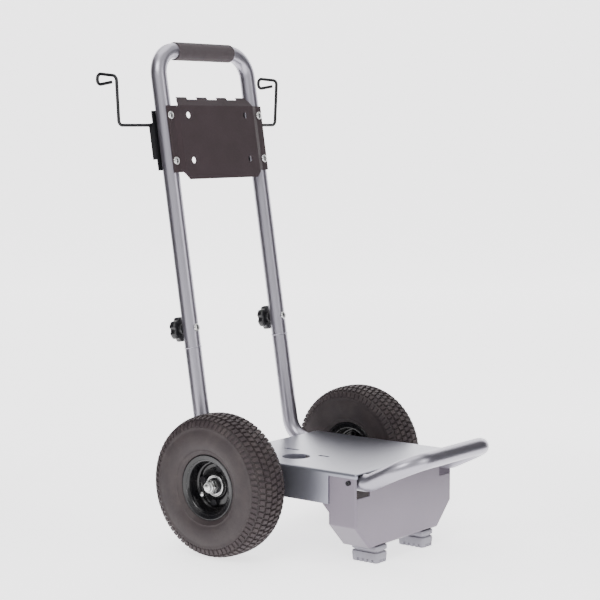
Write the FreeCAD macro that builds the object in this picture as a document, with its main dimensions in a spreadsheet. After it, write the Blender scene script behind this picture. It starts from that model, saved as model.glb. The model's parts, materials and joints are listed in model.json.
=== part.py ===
import FreeCAD, Part
import math
import os

import Sketcher

# Two-wheeled hand cart: a sheet deck on a bent tube frame, pneumatic wheels, front feet,
# and a lift-off handle that carries a tool tray and two wire hooks.
# The frame is +Z up and +Y to the rear, with the wheels at the two ends of X.
# Sizes in millimetres and degrees. Heights are above the floor, lengths along Y are from the axle.
SIZES = [
    # tube frame
    ("tube_diameter", 31.75), ("frame_wall", 2.0), ("lean_angle", 9.1), ("bend_setback", 1.47),
    ("seam_height", 376.0), ("rail_bend", 50.0), ("rail_setback", 61.0), ("seam_bead", 1.7),
    ("fit_gap", 0.1), ("slip_gap", 0.3), ("side_gap", 6.625),
    # front lifting bar, measured forward from the deck's front edge
    ("bar_reach", 100.0), ("bar_slope", 26.4), ("bar_corner", 52.0), ("bar_bend", 40.0),
    ("bar_spigot", 40.0),
    # deck and apron
    ("deck_width", 319.0), ("deck_front", 273.0), ("deck_rear", 60.5), ("sheet", 2.5),
    ("flange_drop", 19.0), ("lip_depth", 9.0), ("rear_lip", 56.0), ("bend_radius", 5.0), ("apron_wing", 64.0),
    ("apron_tab", 16.0), ("apron_bottom", 32.0), ("apron_chamfer", 46.0), ("cutout_side", 4.25),
    ("cutout_margin", 12.75), ("drain_hole", 54.0), ("drain_offset", 88.0), ("drain_front", 79.0),
    ("slot_width", 8.0), ("long_slot", 34.0), ("short_slot", 24.0), ("long_slot_offset", 36.0),
    ("long_slot_front", 28.0), ("short_slot_offset", 54.0), ("short_slot_front", 119.0),
    ("flange_thread", 4.9), ("front_bolt_inset", 20.0), ("rear_bolt_inset", 22.5),
    ("button_head", 9.5), ("button_height", 2.75), ("flange_nut", 8.0),
    ("bolt_head", 13.0), ("head_height", 5.3), ("small_nut", 6.5),
    # feet
    ("foot_margin", 16.6), ("foot_setback", 30.7), ("foot_width", 37.0), ("foot_length", 60.0),
    ("foot_cap", 9.0), ("foot_neck", 3.5), ("foot_taper", 3.0), ("foot_notch", 8.0),
    ("foot_notch_height", 6.0), ("foot_thread", 7.9),
    # wheels and axle
    ("wheel_diameter", 270.0), ("tyre_section", 88.0), ("wheel_gap", 17.5), ("tread_width", 69.0),
    ("tyre_wall", 8.0), ("tyre_mouth", 40.0), ("bead_bite", 4.0),
    ("lip_height", 10.5), ("rim_sheet", 2.2), ("hub_diameter", 41.0), ("hub_wall", 3.0),
    ("hub_outset", 13.0), ("axle_spacer", 14.0), ("bearing_width", 11.0), ("running_gap", 0.05),
    ("axle_diameter", 15.88), ("axle_clearance", 0.81), ("washer_diameter", 30.0),
    ("washer_thickness", 2.4), ("nut_flats", 23.8), ("nut_height", 15.0), ("axle_tail", 4.0),
    ("bracket_plate", 4.0), ("bracket_length", 50.0), ("rim_bolt_margin", 13.5),
    ("rim_thread", 7.9), ("valve_length", 17.0), ("valve_cap", 10.4), ("tube_skin", 2.0),
    # lift-off handle, measured along its own tubes from the seam
    ("handle_wall", 1.6), ("handle_length", 579.7), ("loop_corner", 50.0), ("joint_drop", 23.0),
    ("spigot_length", 76.0), ("spigot_past", 28.0), ("grip_margin", 1.5), ("grip_wall", 2.125),
    ("knob_height", 35.4), ("knob_diameter", 50.0), ("knob_width", 15.0), ("knob_boss", 5.0),
    ("knob_bite", 9.0), ("insert_diameter", 13.0), ("clamp_thread", 7.9),
    # tray and hooks, hung from the two rows of tray bolts
    ("tray_bolt_drop", 129.7), ("tray_bolt_pitch", 89.0), ("tray_sheet", 2.0), ("ear_width", 17.0),
    ("ear_slant", 13.0), ("tray_step", 3.5), ("tray_drop", 37.5), ("ear_drop", 23.0),
    ("ear_rise", 19.0), ("tray_hole", 12.7), ("tray_hole_inset", 26.5), ("carriage_head", 16.0),
    ("carriage_rise", 3.6), ("lip_rise", 18.0), ("lip_set", 11.0), ("bump_width", 29.0),
    ("lip_end", 8.5),
    ("scallop_depth", 5.0), ("tray_thread", 7.9),
    ("hook_plate", 3.0), ("plate_width", 30.0), ("block_depth", 12.0), ("block_width", 26.0),
    ("block_margin", 9.0), ("plate_margin", 14.0), ("wire", 6.35), ("wire_drop", 13.0),
    ("hook_reach", 102.5), ("hook_height", 93.5), ("hook_lean", 6.0), ("hook_run", 50.0),
    ("hook_curl", 8.4), ("hook_return", 37.0), ("hook_bend", 10.0), ("hook_rise", 5.0),
]
SIZE = dict(SIZES)
LEFT, RIGHT = -1, 1
SIDES = (("left", LEFT), ("right", RIGHT))

# Sizes that follow from the ones above, so that every piece keeps its fit when one of them changes.
SIZE["tube_spacing"] = SIZE["deck_width"] - 2 * (SIZE["sheet"] + SIZE["side_gap"]) - SIZE["tube_diameter"]
SIZE["deck_top"] = (SIZE["wheel_diameter"] + SIZE["axle_diameter"]) / 2 + SIZE["axle_clearance"]
SIZE["deck_top"] += SIZE["tube_diameter"] + SIZE["sheet"]
SIZE["flange_depth"] = SIZE["deck_top"] - SIZE["wheel_diameter"] / 2 + SIZE["flange_drop"]
SIZE["upright_back"] = SIZE["deck_rear"] + SIZE["bend_setback"]
SIZE["upright_back"] += SIZE["rail_bend"] * math.tan(math.radians(90 - SIZE["lean_angle"]) / 2)
SIZE["rear_bolt"] = SIZE["deck_rear"] - SIZE["rear_bolt_inset"]
SIZE["front_bolt"] = SIZE["deck_front"] - SIZE["front_bolt_inset"]
SIZE["rail_front"] = SIZE["deck_front"] - SIZE["rail_setback"]
SIZE["bar_knee"] = SIZE["deck_front"] + SIZE["fit_gap"]
SIZE["bar_knee"] += SIZE["bar_bend"] * math.tan(math.radians(SIZE["bar_slope"]) / 2)
SIZE["bar_front"] = SIZE["deck_front"] + SIZE["bar_reach"]
SIZE["bar_rise"] = (SIZE["bar_front"] - SIZE["bar_knee"]) * math.tan(math.radians(SIZE["bar_slope"]))
SIZE["cutout_bottom"] = SIZE["deck_top"] - SIZE["sheet"] - SIZE["tube_diameter"] - SIZE["cutout_margin"]
SIZE["foot_back"] = SIZE["deck_front"] - SIZE["foot_setback"]
SIZE["foot_spacing"] = SIZE["deck_width"] - SIZE["foot_width"]
SIZE["foot_spacing"] -= 2 * (SIZE["sheet"] + SIZE["fit_gap"] + SIZE["apron_chamfer"] + SIZE["foot_margin"])
SIZE["track"] = SIZE["deck_width"] + 2 * SIZE["wheel_gap"] + SIZE["tyre_section"]
SIZE["rim_radius"] = SIZE["wheel_diameter"] / 2 - SIZE["tyre_section"] + SIZE["bead_bite"]
SIZE["rim_lip"] = SIZE["rim_radius"] + SIZE["lip_height"]
SIZE["rim_bolt_circle"] = SIZE["hub_diameter"] + 2 * SIZE["rim_bolt_margin"]
SIZE["hub_length"] = (SIZE["track"] - SIZE["deck_width"]) / 2 + SIZE["hub_outset"] - SIZE["axle_spacer"]
SIZE["hub_length"] -= 2 * SIZE["slip_gap"]
SIZE["grip_length"] = SIZE["tube_spacing"] - 2 * (SIZE["loop_corner"] + SIZE["grip_margin"])
SIZE["grip_diameter"] = SIZE["tube_diameter"] + 2 * SIZE["grip_wall"]
SIZE["tray_low_bolt"] = SIZE["handle_length"] - SIZE["tray_bolt_drop"] - SIZE["tray_bolt_pitch"]
SIZE["joint_height"] = SIZE["tray_low_bolt"] - SIZE["joint_drop"]
SIZE["inner_spigot"] = SIZE["joint_drop"] + SIZE["tray_bolt_pitch"] + SIZE["spigot_past"]
SIZE["ear_inner"] = (SIZE["tube_spacing"] - SIZE["ear_width"]) / 2
SIZE["ear_outer"] = (SIZE["tube_spacing"] + SIZE["ear_width"]) / 2
SIZE["tray_half"] = SIZE["ear_inner"] - SIZE["ear_slant"]
SIZE["tray_hole_spacing"] = 2 * (SIZE["tray_half"] - SIZE["tray_hole_inset"])
SIZE["scallop_pitch"] = (2 * (SIZE["tray_half"] - SIZE["lip_end"]) - SIZE["bump_width"]) / 3
SIZE["scallop_gap"] = SIZE["scallop_pitch"] - SIZE["bump_width"]
SIZE["wire_level"] = SIZE["tray_low_bolt"] + SIZE["tray_bolt_pitch"] - SIZE["wire_drop"]

doc = FreeCAD.newDocument("hand_cart")
sheet = doc.addObject("Spreadsheet::Sheet", "Sizes")
for row, (alias, number) in enumerate(SIZE.items(), start=1):
    sheet.set("A%d" % row, alias)
    sheet.set("B%d" % row, str(round(number, 4)))
    sheet.setAlias("B%d" % row, alias)
doc.recompute()

vector = FreeCAD.Vector
LEAN = math.radians(SIZE["lean_angle"])
TUBE_RADIUS = SIZE["tube_diameter"] / 2
TUBE_X = SIZE["tube_spacing"] / 2
RAIL_Z = SIZE["deck_top"] - SIZE["sheet"] - TUBE_RADIUS
AXLE_Z = SIZE["wheel_diameter"] / 2
SEAM_Y = SIZE["upright_back"] + (SIZE["seam_height"] - RAIL_Z) * math.tan(LEAN)
WIRE_BACK = TUBE_RADIUS + SIZE["hook_plate"] + SIZE["block_depth"] / 2


def handle_point(across, back, along):
    """Turn a place in the handle's own frame into a place on the cart."""
    return vector(across, SEAM_Y + back * math.cos(LEAN) + along * math.sin(LEAN),
                  SIZE["seam_height"] - back * math.sin(LEAN) + along * math.cos(LEAN))


# The whole cart is moved along Y so that its box is centred on the origin.
HOOK_ROOT = handle_point(0, WIRE_BACK, SIZE["wire_level"])
REAR_Y = HOOK_ROOT.y + SIZE["hook_run"] + SIZE["wire"] / 2
FRONT_Y = -SIZE["bar_front"] - TUBE_RADIUS
SHIFT = -(REAR_Y + FRONT_Y) / 2

CART = FreeCAD.Placement(vector(0, SHIFT, 0), FreeCAD.Rotation())
HANDLE = FreeCAD.Placement(vector(0, SHIFT + SEAM_Y, SIZE["seam_height"]),
                           FreeCAD.Rotation(vector(1, 0, 0), -SIZE["lean_angle"]))
ALONG_X = FreeCAD.Rotation(vector(0, 1, 0), 90)
ALONG_Y = FreeCAD.Rotation(vector(1, 0, 0), -90)
UPRIGHT = FreeCAD.Rotation()

nodes = []


def node(feature, label, placement=CART):
    """Name a finished sub-part and put it in its place on the cart."""
    feature.Label = label
    feature.Placement = placement
    nodes.append(feature)
    return feature


def bind(feature, **formulas):
    """Tie each named property of a feature to a formula in the sizes."""
    for name, formula in formulas.items():
        feature.setExpression(name, formula)
    return feature


def place(feature, position, rotation=UPRIGHT):
    feature.Placement = FreeCAD.Placement(vector(*position), rotation)
    return feature


def rod(radius, height, position=(0, 0, 0), rotation=UPRIGHT):
    """A plain cylinder whose radius and height follow the sizes."""
    feature = doc.addObject("Part::Cylinder", "Rod")
    bind(feature, Radius=radius, Height=height)
    return place(feature, position, rotation)


def block(length, width, height, position=(0, 0, 0), rotation=UPRIGHT):
    """A plain box whose sides follow the sizes."""
    feature = doc.addObject("Part::Box", "Block")
    bind(feature, Length=length, Width=width, Height=height)
    return place(feature, position, rotation)


def hexagon(flats, height, position=(0, 0, 0), rotation=UPRIGHT):
    """A hexagonal head or nut, stated by its width across flats."""
    feature = doc.addObject("Part::Prism", "Hexagon")
    feature.Polygon = 6
    bind(feature, Circumradius="(%s) / sqrt(3)" % flats, Height=height)
    return place(feature, position, rotation)


def fuse(*parts):
    feature = doc.addObject("Part::MultiFuse", "Fusion")
    feature.Shapes = list(parts)
    feature.Refine = True
    return feature


def cut(base, *tools):
    feature = doc.addObject("Part::Cut", "Cut")
    feature.Base = base
    feature.Tool = tools[0] if len(tools) == 1 else fuse(*tools)
    return feature


def group(parts):
    """Separate solids that share one node."""
    feature = doc.addObject("Part::Compound", "Group")
    feature.Links = list(parts)
    return feature


def rounded_path(points, radii):
    """Straight runs joined by tangent arcs, with one radius for each inner point."""
    edges = []
    start = points[0]
    for before, corner, after, radius in zip(points, points[1:], points[2:], radii):
        into = (corner - before).normalize()
        out = (after - corner).normalize()
        turn = into.getAngle(out)
        reach = radius * math.tan(turn / 2)
        first = corner - into * reach
        last = corner + out * reach
        bisector = (out - into).normalize()
        middle = corner + bisector * (radius / math.cos(turn / 2) - radius)
        edges.append(Part.LineSegment(start, first).toShape())
        edges.append(Part.Arc(first, middle, last).toShape())
        start = last
    edges.append(Part.LineSegment(start, points[-1]).toShape())
    return Part.Wire(edges)


def bent_rod(points, radii, radius):
    """A round bar swept along a rounded path; the radius follows the sizes."""
    spine = doc.addObject("Part::Feature", "Spine")
    spine.Shape = rounded_path(points, radii)
    ring = doc.addObject("Part::Circle", "Ring")
    bind(ring, Radius=radius)
    ring.Placement = FreeCAD.Placement(points[0], FreeCAD.Rotation(vector(0, 0, 1), points[1] - points[0]))
    sweep = doc.addObject("Part::Sweep", "Sweep")
    sweep.Sections = [ring]
    sweep.Spine = (spine, ["Edge%d" % (i + 1) for i in range(len(spine.Shape.Edges))])
    sweep.Solid = True
    sweep.Frenet = False
    return sweep


def origin_plane(body, role):
    return next(item for item in body.Origin.OriginFeatures if item.Role == role)


def new_sketch(body, role):
    sketch = body.newObject("Sketcher::SketchObject", "Sketch")
    sketch.AttachmentSupport = [(origin_plane(body, role), "")]
    sketch.MapMode = "FlatFace"
    return sketch


def outline(body, role, corners):
    """A closed polygon on an origin plane, each corner held by two formulas."""
    sketch = new_sketch(body, role)
    count = len(corners)
    turns = [2 * math.pi * i / count for i in range(count)]
    ring = [vector(100 * math.cos(turn), 100 * math.sin(turn), 0) for turn in turns]
    for i in range(count):
        sketch.addGeometry(Part.LineSegment(ring[i], ring[(i + 1) % count]), False)
    for i in range(count):
        sketch.addConstraint(Sketcher.Constraint("Coincident", i, 2, (i + 1) % count, 1))
    for i, (across, up) in enumerate(corners):
        for kind, formula in (("DistanceX", across), ("DistanceY", up)):
            index = sketch.addConstraint(Sketcher.Constraint(kind, -1, 1, i, 1, 1.0))
            sketch.setExpression("Constraints[%d]" % index, formula)
    return sketch


def disc(body, role, radius, across, up):
    """A circle on an origin plane, with its radius and centre held by formulas."""
    sketch = new_sketch(body, role)
    sketch.addGeometry(Part.Circle(vector(10, 10, 0), vector(0, 0, 1), 5), False)
    constraints = (Sketcher.Constraint("Radius", 0, 5.0), Sketcher.Constraint("DistanceX", -1, 1, 0, 3, 10.0),
                   Sketcher.Constraint("DistanceY", -1, 1, 0, 3, 10.0))
    for constraint, formula in zip(constraints, (radius, across, up)):
        index = sketch.addConstraint(constraint)
        sketch.setExpression("Constraints[%d]" % index, formula)
    return sketch


def pad(body, sketch, length, reverse=False, both=False):
    feature = body.newObject("PartDesign::Pad", "Pad")
    feature.Profile = sketch
    feature.Reversed = reverse
    feature.Midplane = both
    bind(feature, Length=length)
    return feature


def pocket(body, sketch, length, reverse=False, both=False):
    feature = body.newObject("PartDesign::Pocket", "Pocket")
    feature.Profile = sketch
    feature.Reversed = reverse
    feature.Midplane = both
    bind(feature, Length=length)
    return feature


def fillet(body, base, radius, chosen):
    """Round the edges of a feature whose middle point passes the test."""
    doc.recompute()
    names = ["Edge%d" % (i + 1) for i, edge in enumerate(base.Shape.Edges)
             if chosen(edge.CenterOfMass, edge.BoundBox)]
    feature = body.newObject("PartDesign::Fillet", "Fillet")
    feature.Base = (base, names)
    bind(feature, Radius=radius)
    return feature


def shell(body, base, wall, opened):
    """Leave a wall of one thickness inside a solid, open at the chosen faces."""
    doc.recompute()
    names = ["Face%d" % (i + 1) for i, face in enumerate(base.Shape.Faces) if opened(face)]
    feature = body.newObject("PartDesign::Thickness", "Thickness")
    feature.Base = (base, names)
    feature.Join = 1
    feature.Reversed = True
    bind(feature, Value=wall)
    return feature


def new_body():
    return doc.addObject("PartDesign::Body", "Body")


def facing(face, direction):
    """True for a flat face whose outward side points along a direction."""
    flat = face.Surface.TypeId == "Part::GeomPlane"
    return flat and face.normalAt(0, 0).dot(vector(*direction)) > 0.99


# ---------------------------------------------------------------- tube frame

def frame_tube(name, side):
    """Rail and upright in one bent tube, with a swaged spigot that the handle drops over."""
    seam = vector(side * TUBE_X, SEAM_Y, SIZE["seam_height"])
    corner = vector(side * TUBE_X, SIZE["upright_back"], RAIL_Z)
    front = vector(side * TUBE_X, -SIZE["rail_front"], RAIL_Z)
    points = [seam, corner, front]
    outer = bent_rod(points, [SIZE["rail_bend"]], "Sizes.tube_diameter / 2")
    lean = FreeCAD.Rotation(vector(1, 0, 0), -SIZE["lean_angle"])
    bead = doc.addObject("Part::Torus", "Bead")
    bind(bead, Radius1="Sizes.tube_diameter / 2 - 0.4", Radius2="Sizes.seam_bead")
    below = seam - (seam - corner).normalize() * SIZE["seam_bead"]
    place(bead, below, lean)
    neck = seam - (seam - corner).normalize() * 10
    spigot = rod("Sizes.tube_diameter / 2 - Sizes.handle_wall - Sizes.slip_gap",
                 "Sizes.spigot_length + 10", neck, lean)
    inner = bent_rod(points, [SIZE["rail_bend"]], "Sizes.tube_diameter / 2 - Sizes.frame_wall - 2")
    front_bore = rod("Sizes.tube_diameter / 2 - Sizes.frame_wall", "Sizes.bar_spigot + 8", front, ALONG_Y)
    bore = rod("Sizes.tube_diameter / 2 - Sizes.frame_wall - 2", "Sizes.spigot_length + 20", neck, lean)
    above = handle_point(side * TUBE_X, 0, SIZE["knob_height"])
    slot = block("Sizes.clamp_thread + 1", "Sizes.tube_diameter + 10", "Sizes.spigot_length", (0, 0, 0), lean)
    half = (SIZE["clamp_thread"] + 1) / 2
    slot.Placement.Base = handle_point(side * TUBE_X - half, -TUBE_RADIUS - 5, SIZE["knob_height"])
    slot_end = rod("Sizes.clamp_thread / 2 + 0.5", "Sizes.tube_diameter + 10")
    across = lean.multiply(ALONG_Y)
    start = handle_point(side * TUBE_X, -TUBE_RADIUS - 5, SIZE["knob_height"])
    slot_end.Placement = FreeCAD.Placement(start, across)
    drills = cross_drill("(Sizes.flange_thread + 0.2)", cross_bolt_places()[1:])
    node(cut(fuse(outer, bead, spigot), inner, front_bore, bore, slot, slot_end, *drills),
         name + "_frame_tube")


def front_handle():
    """The bar that lifts the front: a U whose legs plug into the two rails."""
    joint = -SIZE["rail_front"]
    rise = RAIL_Z + SIZE["bar_rise"]
    legs = [(joint, RAIL_Z), (-SIZE["bar_knee"], RAIL_Z), (-SIZE["bar_front"], rise)]
    points = [vector(-TUBE_X, y, z) for y, z in legs]
    points += [vector(TUBE_X, y, z) for y, z in reversed(legs)]
    radii = [SIZE["bar_bend"], SIZE["bar_corner"], SIZE["bar_corner"], SIZE["bar_bend"]]
    outer = bent_rod(points, radii, "Sizes.tube_diameter / 2")
    inner = bent_rod(points, radii, "Sizes.tube_diameter / 2 - Sizes.frame_wall - 2")
    plugs = []
    bores = []
    for _, side in SIDES:
        start = (side * TUBE_X, joint - 8, RAIL_Z)
        plugs.append(rod("Sizes.tube_diameter / 2 - Sizes.frame_wall - Sizes.fit_gap",
                         "Sizes.bar_spigot + 8", start, ALONG_Y))
        bores.append(rod("Sizes.tube_diameter / 2 - Sizes.frame_wall - 2", "Sizes.bar_spigot + 20",
                         start, ALONG_Y))
    drills = cross_drill("(Sizes.flange_thread + 0.2)", cross_bolt_places()[:1])
    node(cut(fuse(outer, *plugs), inner, *bores, *drills), "front_handle")


def cross_bolt_places():
    """Where the bolts run along X through each flange and the tube beside it."""
    return [(-SIZE["front_bolt"], RAIL_Z), (SIZE["rear_bolt"], RAIL_Z)]


def cross_drill(diameter, rows):
    """Drills that run right across the cart at the given rows of cross bolts."""
    start = -SIZE["deck_width"] / 2 - 20
    return [rod("%s / 2" % diameter, "Sizes.deck_width + 40", (start, y, z), ALONG_X) for y, z in rows]


for side_name, side in SIDES:
    frame_tube(side_name, side)
front_handle()


# ---------------------------------------------------------------- deck and apron

def lift(sketch, formula):
    """Move a sketch off its origin plane, along the plane's own normal."""
    sketch.setExpression("AttachmentOffset.Base.z", formula)
    return sketch


def deck_plate():
    body = new_body()
    half, front, rear = "Sizes.deck_width / 2", "-Sizes.deck_front", "Sizes.deck_rear"
    plan = outline(body, "XY_Plane", [("-" + half, front), (half, front), (half, rear), ("-" + half, rear)])
    lift(plan, "Sizes.deck_top")
    blank = pad(body, plan, "Sizes.flange_depth", reverse=True)
    bends = fillet(body, blank, "Sizes.bend_radius",
                   lambda centre, box: centre.z > SIZE["deck_top"] - SIZE["flange_depth"] + 1)
    shell(body, bends, "Sizes.sheet", lambda face: facing(face, (0, 0, -1)))
    wing = "-(Sizes.deck_front - Sizes.apron_wing)"
    low, lip = "Sizes.deck_top - Sizes.flange_depth - 5", "Sizes.deck_top - Sizes.lip_depth"
    nose = outline(body, "YZ_Plane", [("-Sizes.deck_front - 5", low), (wing, low), (wing, lip),
                                      ("-Sizes.deck_front - 5", lip)])
    pocket(body, nose, "Sizes.deck_width + 20", both=True)
    back, hem = "Sizes.deck_rear - Sizes.bend_radius - Sizes.sheet", "Sizes.deck_top - Sizes.rear_lip"
    heel = outline(body, "YZ_Plane", [(back, low), ("Sizes.deck_rear + 5", low), ("Sizes.deck_rear + 5", hem),
                                      (back, hem)])
    pocket(body, heel, "Sizes.deck_width + 20", both=True)
    leg_notches(body, "Sizes.deck_top - Sizes.lip_depth - 5", "Sizes.deck_top - Sizes.sheet")
    tube_notches(body, low, "Sizes.deck_top - Sizes.sheet")
    drain = disc(body, "XY_Plane", "Sizes.drain_hole / 2", "-Sizes.drain_offset", "-Sizes.drain_front")
    pocket(body, drain, "Sizes.deck_top + 10", reverse=True)
    for name in ("long_slot", "short_slot"):
        deck_slot(body, name)
    axle_hole = disc(body, "YZ_Plane", "Sizes.axle_diameter / 2 + Sizes.fit_gap", "0",
                     "Sizes.wheel_diameter / 2")
    pocket(body, axle_hole, "Sizes.deck_width + 20", both=True)
    rear_holes = disc(body, "YZ_Plane", "Sizes.flange_thread / 2 + Sizes.fit_gap", "Sizes.rear_bolt",
                      "Sizes.deck_top - Sizes.sheet - Sizes.tube_diameter / 2")
    body.Tip = pocket(body, rear_holes, "Sizes.deck_width + 20", both=True)
    node(body, "deck_plate")


def deck_slot(body, name):
    """A plain slot along Y through the deck."""
    left = "-Sizes.%s_offset - Sizes.slot_width / 2" % name
    right = "-Sizes.%s_offset + Sizes.slot_width / 2" % name
    front = "-Sizes.%s_front - Sizes.%s / 2" % (name, name)
    back = "-Sizes.%s_front + Sizes.%s / 2" % (name, name)
    shape = outline(body, "XY_Plane", [(left, front), (right, front), (right, back), (left, back)])
    pocket(body, shape, "Sizes.deck_top + 10", reverse=True)


def leg_notches(body, low, high):
    """Openings for the two legs of the lifting bar in a front wall."""
    outer = "(Sizes.deck_width / 2 - 2 * Sizes.sheet - Sizes.fit_gap)"
    inner = "(Sizes.tube_spacing / 2 - Sizes.tube_diameter / 2 - Sizes.cutout_side)"
    for sign in ("-", ""):
        mouth = outline(body, "XZ_Plane", [(sign + outer, low), (sign + inner, low), (sign + inner, high),
                                           (sign + outer, high)])
        pocket(body, mouth, "Sizes.deck_front + 10", reverse=True)


def tube_notches(body, low, high):
    """Openings in the rear lip where the two rails run out under the deck."""
    outer = "(Sizes.tube_spacing / 2 + Sizes.tube_diameter / 2 + Sizes.slip_gap)"
    inner = "(Sizes.tube_spacing / 2 - Sizes.tube_diameter / 2 - Sizes.slip_gap)"
    for sign in ("-", ""):
        mouth = outline(body, "XZ_Plane", [(sign + outer, low), (sign + inner, low), (sign + inner, high),
                                           (sign + outer, high)])
        pocket(body, mouth, "Sizes.deck_rear + 10")


def front_apron():
    body = new_body()
    half = "(Sizes.deck_width / 2 - Sizes.sheet - Sizes.fit_gap)"
    top = "Sizes.deck_top - Sizes.bend_radius - Sizes.fit_gap"
    knee, low = "Sizes.apron_bottom + Sizes.apron_chamfer", "Sizes.apron_bottom"
    foot = "(Sizes.deck_width / 2 - Sizes.sheet - Sizes.fit_gap - Sizes.apron_chamfer)"
    face = outline(body, "XZ_Plane", [("-" + half, top), ("-" + half, knee), ("-" + foot, low), (foot, low),
                                      (half, knee), (half, top)])
    lift(face, "Sizes.deck_front - Sizes.sheet - Sizes.fit_gap")
    blank = pad(body, face, "Sizes.apron_wing + Sizes.apron_tab - Sizes.sheet", reverse=True)
    front_y = -SIZE["deck_front"] + SIZE["sheet"] + SIZE["fit_gap"]
    rear_y = front_y + SIZE["apron_wing"] + SIZE["apron_tab"] - SIZE["sheet"]

    def bend(centre, box):
        """Edges round the front face and the four that run back from it."""
        return centre.z < SIZE["deck_top"] - 8 and (box.YLength > 20 or centre.y < front_y + 5)

    fillet(body, blank, "Sizes.bend_radius", bend)
    inset = "Sizes.sheet * tan(22.5)"
    well = outline(body, "XZ_Plane", [("-" + half + " + Sizes.sheet", top + " + 5"),
                                      ("-" + half + " + Sizes.sheet", knee + " + " + inset),
                                      ("-" + foot + " + " + inset, low + " + Sizes.sheet"),
                                      (foot + " - " + inset, low + " + Sizes.sheet"),
                                      (half + " - Sizes.sheet", knee + " + " + inset),
                                      (half + " - Sizes.sheet", top + " + 5")])
    lift(well, "Sizes.deck_front - 2 * Sizes.sheet - Sizes.fit_gap")
    hollow = pocket(body, well, "Sizes.apron_wing + Sizes.apron_tab + 5")

    def inner_bend(centre, box):
        """The same bends on the inside of the sheet."""
        along = box.YLength > 20 and box.YMax < rear_y + 1
        inside = abs(centre.x) < SIZE["deck_width"] / 2 - 2 * SIZE["sheet"] + 1
        back = front_y + SIZE["sheet"] - 0.01 < centre.y
        return inside and centre.z < SIZE["deck_top"] - 8 and back and (along or centre.y < front_y + 3)

    fillet(body, hollow, "Sizes.bend_radius - Sizes.sheet", inner_bend)
    wing = "-(Sizes.deck_front - Sizes.apron_wing)"
    tab = "-(Sizes.deck_front - Sizes.apron_wing - Sizes.apron_tab)"
    flange = "Sizes.deck_top - Sizes.flange_depth"
    waste = outline(body, "YZ_Plane", [(wing, "Sizes.apron_bottom - 5"),
                                       (wing, flange + " - Sizes.apron_tab"), (tab, flange),
                                       (tab + " + 5", flange),
                                       (tab + " + 5", "Sizes.apron_bottom - 5")])
    pocket(body, waste, "Sizes.deck_width + 20", both=True)
    leg_notches(body, "Sizes.cutout_bottom", "Sizes.deck_top + 5")
    cross = disc(body, "YZ_Plane", "Sizes.flange_thread / 2 + Sizes.fit_gap", "-Sizes.front_bolt",
                 "Sizes.deck_top - Sizes.sheet - Sizes.tube_diameter / 2")
    pocket(body, cross, "Sizes.deck_width + 20", both=True)
    for sign in ("-", ""):
        stem = disc(body, "XY_Plane", "Sizes.foot_thread / 2 + Sizes.fit_gap",
                    sign + "Sizes.foot_spacing / 2", "-Sizes.foot_back")
        body.Tip = pocket(body, stem, "Sizes.apron_bottom + Sizes.sheet + 10", reverse=True)
    node(body, "front_apron")


# ---------------------------------------------------------------- feet and fasteners

def foot(name, side):
    """A tapered rubber foot with a square cap, a narrow neck and a cross groove underneath."""
    cap_z = SIZE["apron_bottom"] - SIZE["foot_cap"]
    neck_z = cap_z - SIZE["foot_neck"]
    half_x, half_y = SIZE["foot_width"] / 2, SIZE["foot_length"] / 2
    neck = SIZE["foot_taper"]
    cap = block("Sizes.foot_width", "Sizes.foot_length", "Sizes.foot_cap", (-half_x, -half_y, cap_z))
    waist = block("Sizes.foot_width - 2 * Sizes.foot_taper", "Sizes.foot_length - 2 * Sizes.foot_taper",
                  "Sizes.foot_neck + 2", (neck - half_x, neck - half_y, neck_z - 1))
    pad_block = doc.addObject("Part::Wedge", "Wedge")
    bind(pad_block, Xmin="Sizes.foot_taper", Xmax="Sizes.foot_width - Sizes.foot_taper", Ymin="0",
         Ymax="Sizes.apron_bottom - Sizes.foot_cap - Sizes.foot_neck", Zmin="Sizes.foot_taper",
         Zmax="Sizes.foot_length - Sizes.foot_taper", X2min="0", X2max="Sizes.foot_width", Z2min="0",
         Z2max="Sizes.foot_length")
    place(pad_block, (-half_x, half_y, 0), FreeCAD.Rotation(vector(1, 0, 0), 90))
    long_notch = block("Sizes.foot_notch", "Sizes.foot_length + 10", "Sizes.foot_notch_height + 5",
                       (-SIZE["foot_notch"] / 2, -half_y - 5, -5))
    cross_notch = block("Sizes.foot_width + 10", "Sizes.foot_notch", "Sizes.foot_notch_height + 5",
                        (-half_x - 5, -SIZE["foot_notch"] / 2, -5))
    seat = rod("Sizes.bolt_head / 2 + 1.5", "Sizes.foot_notch_height + Sizes.head_height", (0, 0, -1))
    stem = rod("Sizes.foot_thread / 2 + Sizes.fit_gap", "Sizes.apron_bottom + 10", (0, 0, -5))
    shape = cut(fuse(cap, waist, pad_block), long_notch, cross_notch, seat, stem)
    spot = FreeCAD.Placement(vector(side * SIZE["foot_spacing"] / 2, SHIFT - SIZE["foot_back"], 0), UPRIGHT)
    node(shape, name + "_foot", spot)


def hex_bolt(flats, thread, grip, spot, rotation):
    """A hexagon-headed bolt: its head lies behind the spot and its shank runs ahead of it."""
    head = hexagon("Sizes." + flats, "Sizes.head_height", (0, 0, -SIZE["head_height"]))
    shank = rod("Sizes.%s / 2" % thread, grip)
    bolt = fuse(head, shank)
    return place(bolt, spot, rotation)


def button_bolt(thread, grip, spot, rotation):
    """A low round-headed bolt with a key socket: its head lies behind the spot."""
    head = rod("Sizes.button_head / 2", "Sizes.button_height", (0, 0, -SIZE["button_height"]))
    key = hexagon("3", "Sizes.button_height / 2 + 1", (0, 0, -SIZE["button_height"] - 1))
    shank = rod("Sizes.%s / 2" % thread, grip)
    return place(fuse(cut(head, key), shank), spot, rotation)


def hex_nut(flats, thread, spot, rotation):
    """A plain nut that starts at the spot."""
    nut = cut(hexagon("Sizes." + flats, "Sizes.small_nut"),
              rod("Sizes.%s / 2 + 0.03" % thread, "Sizes.small_nut + 2", (0, 0, -1)))
    return place(nut, spot, rotation)


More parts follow.
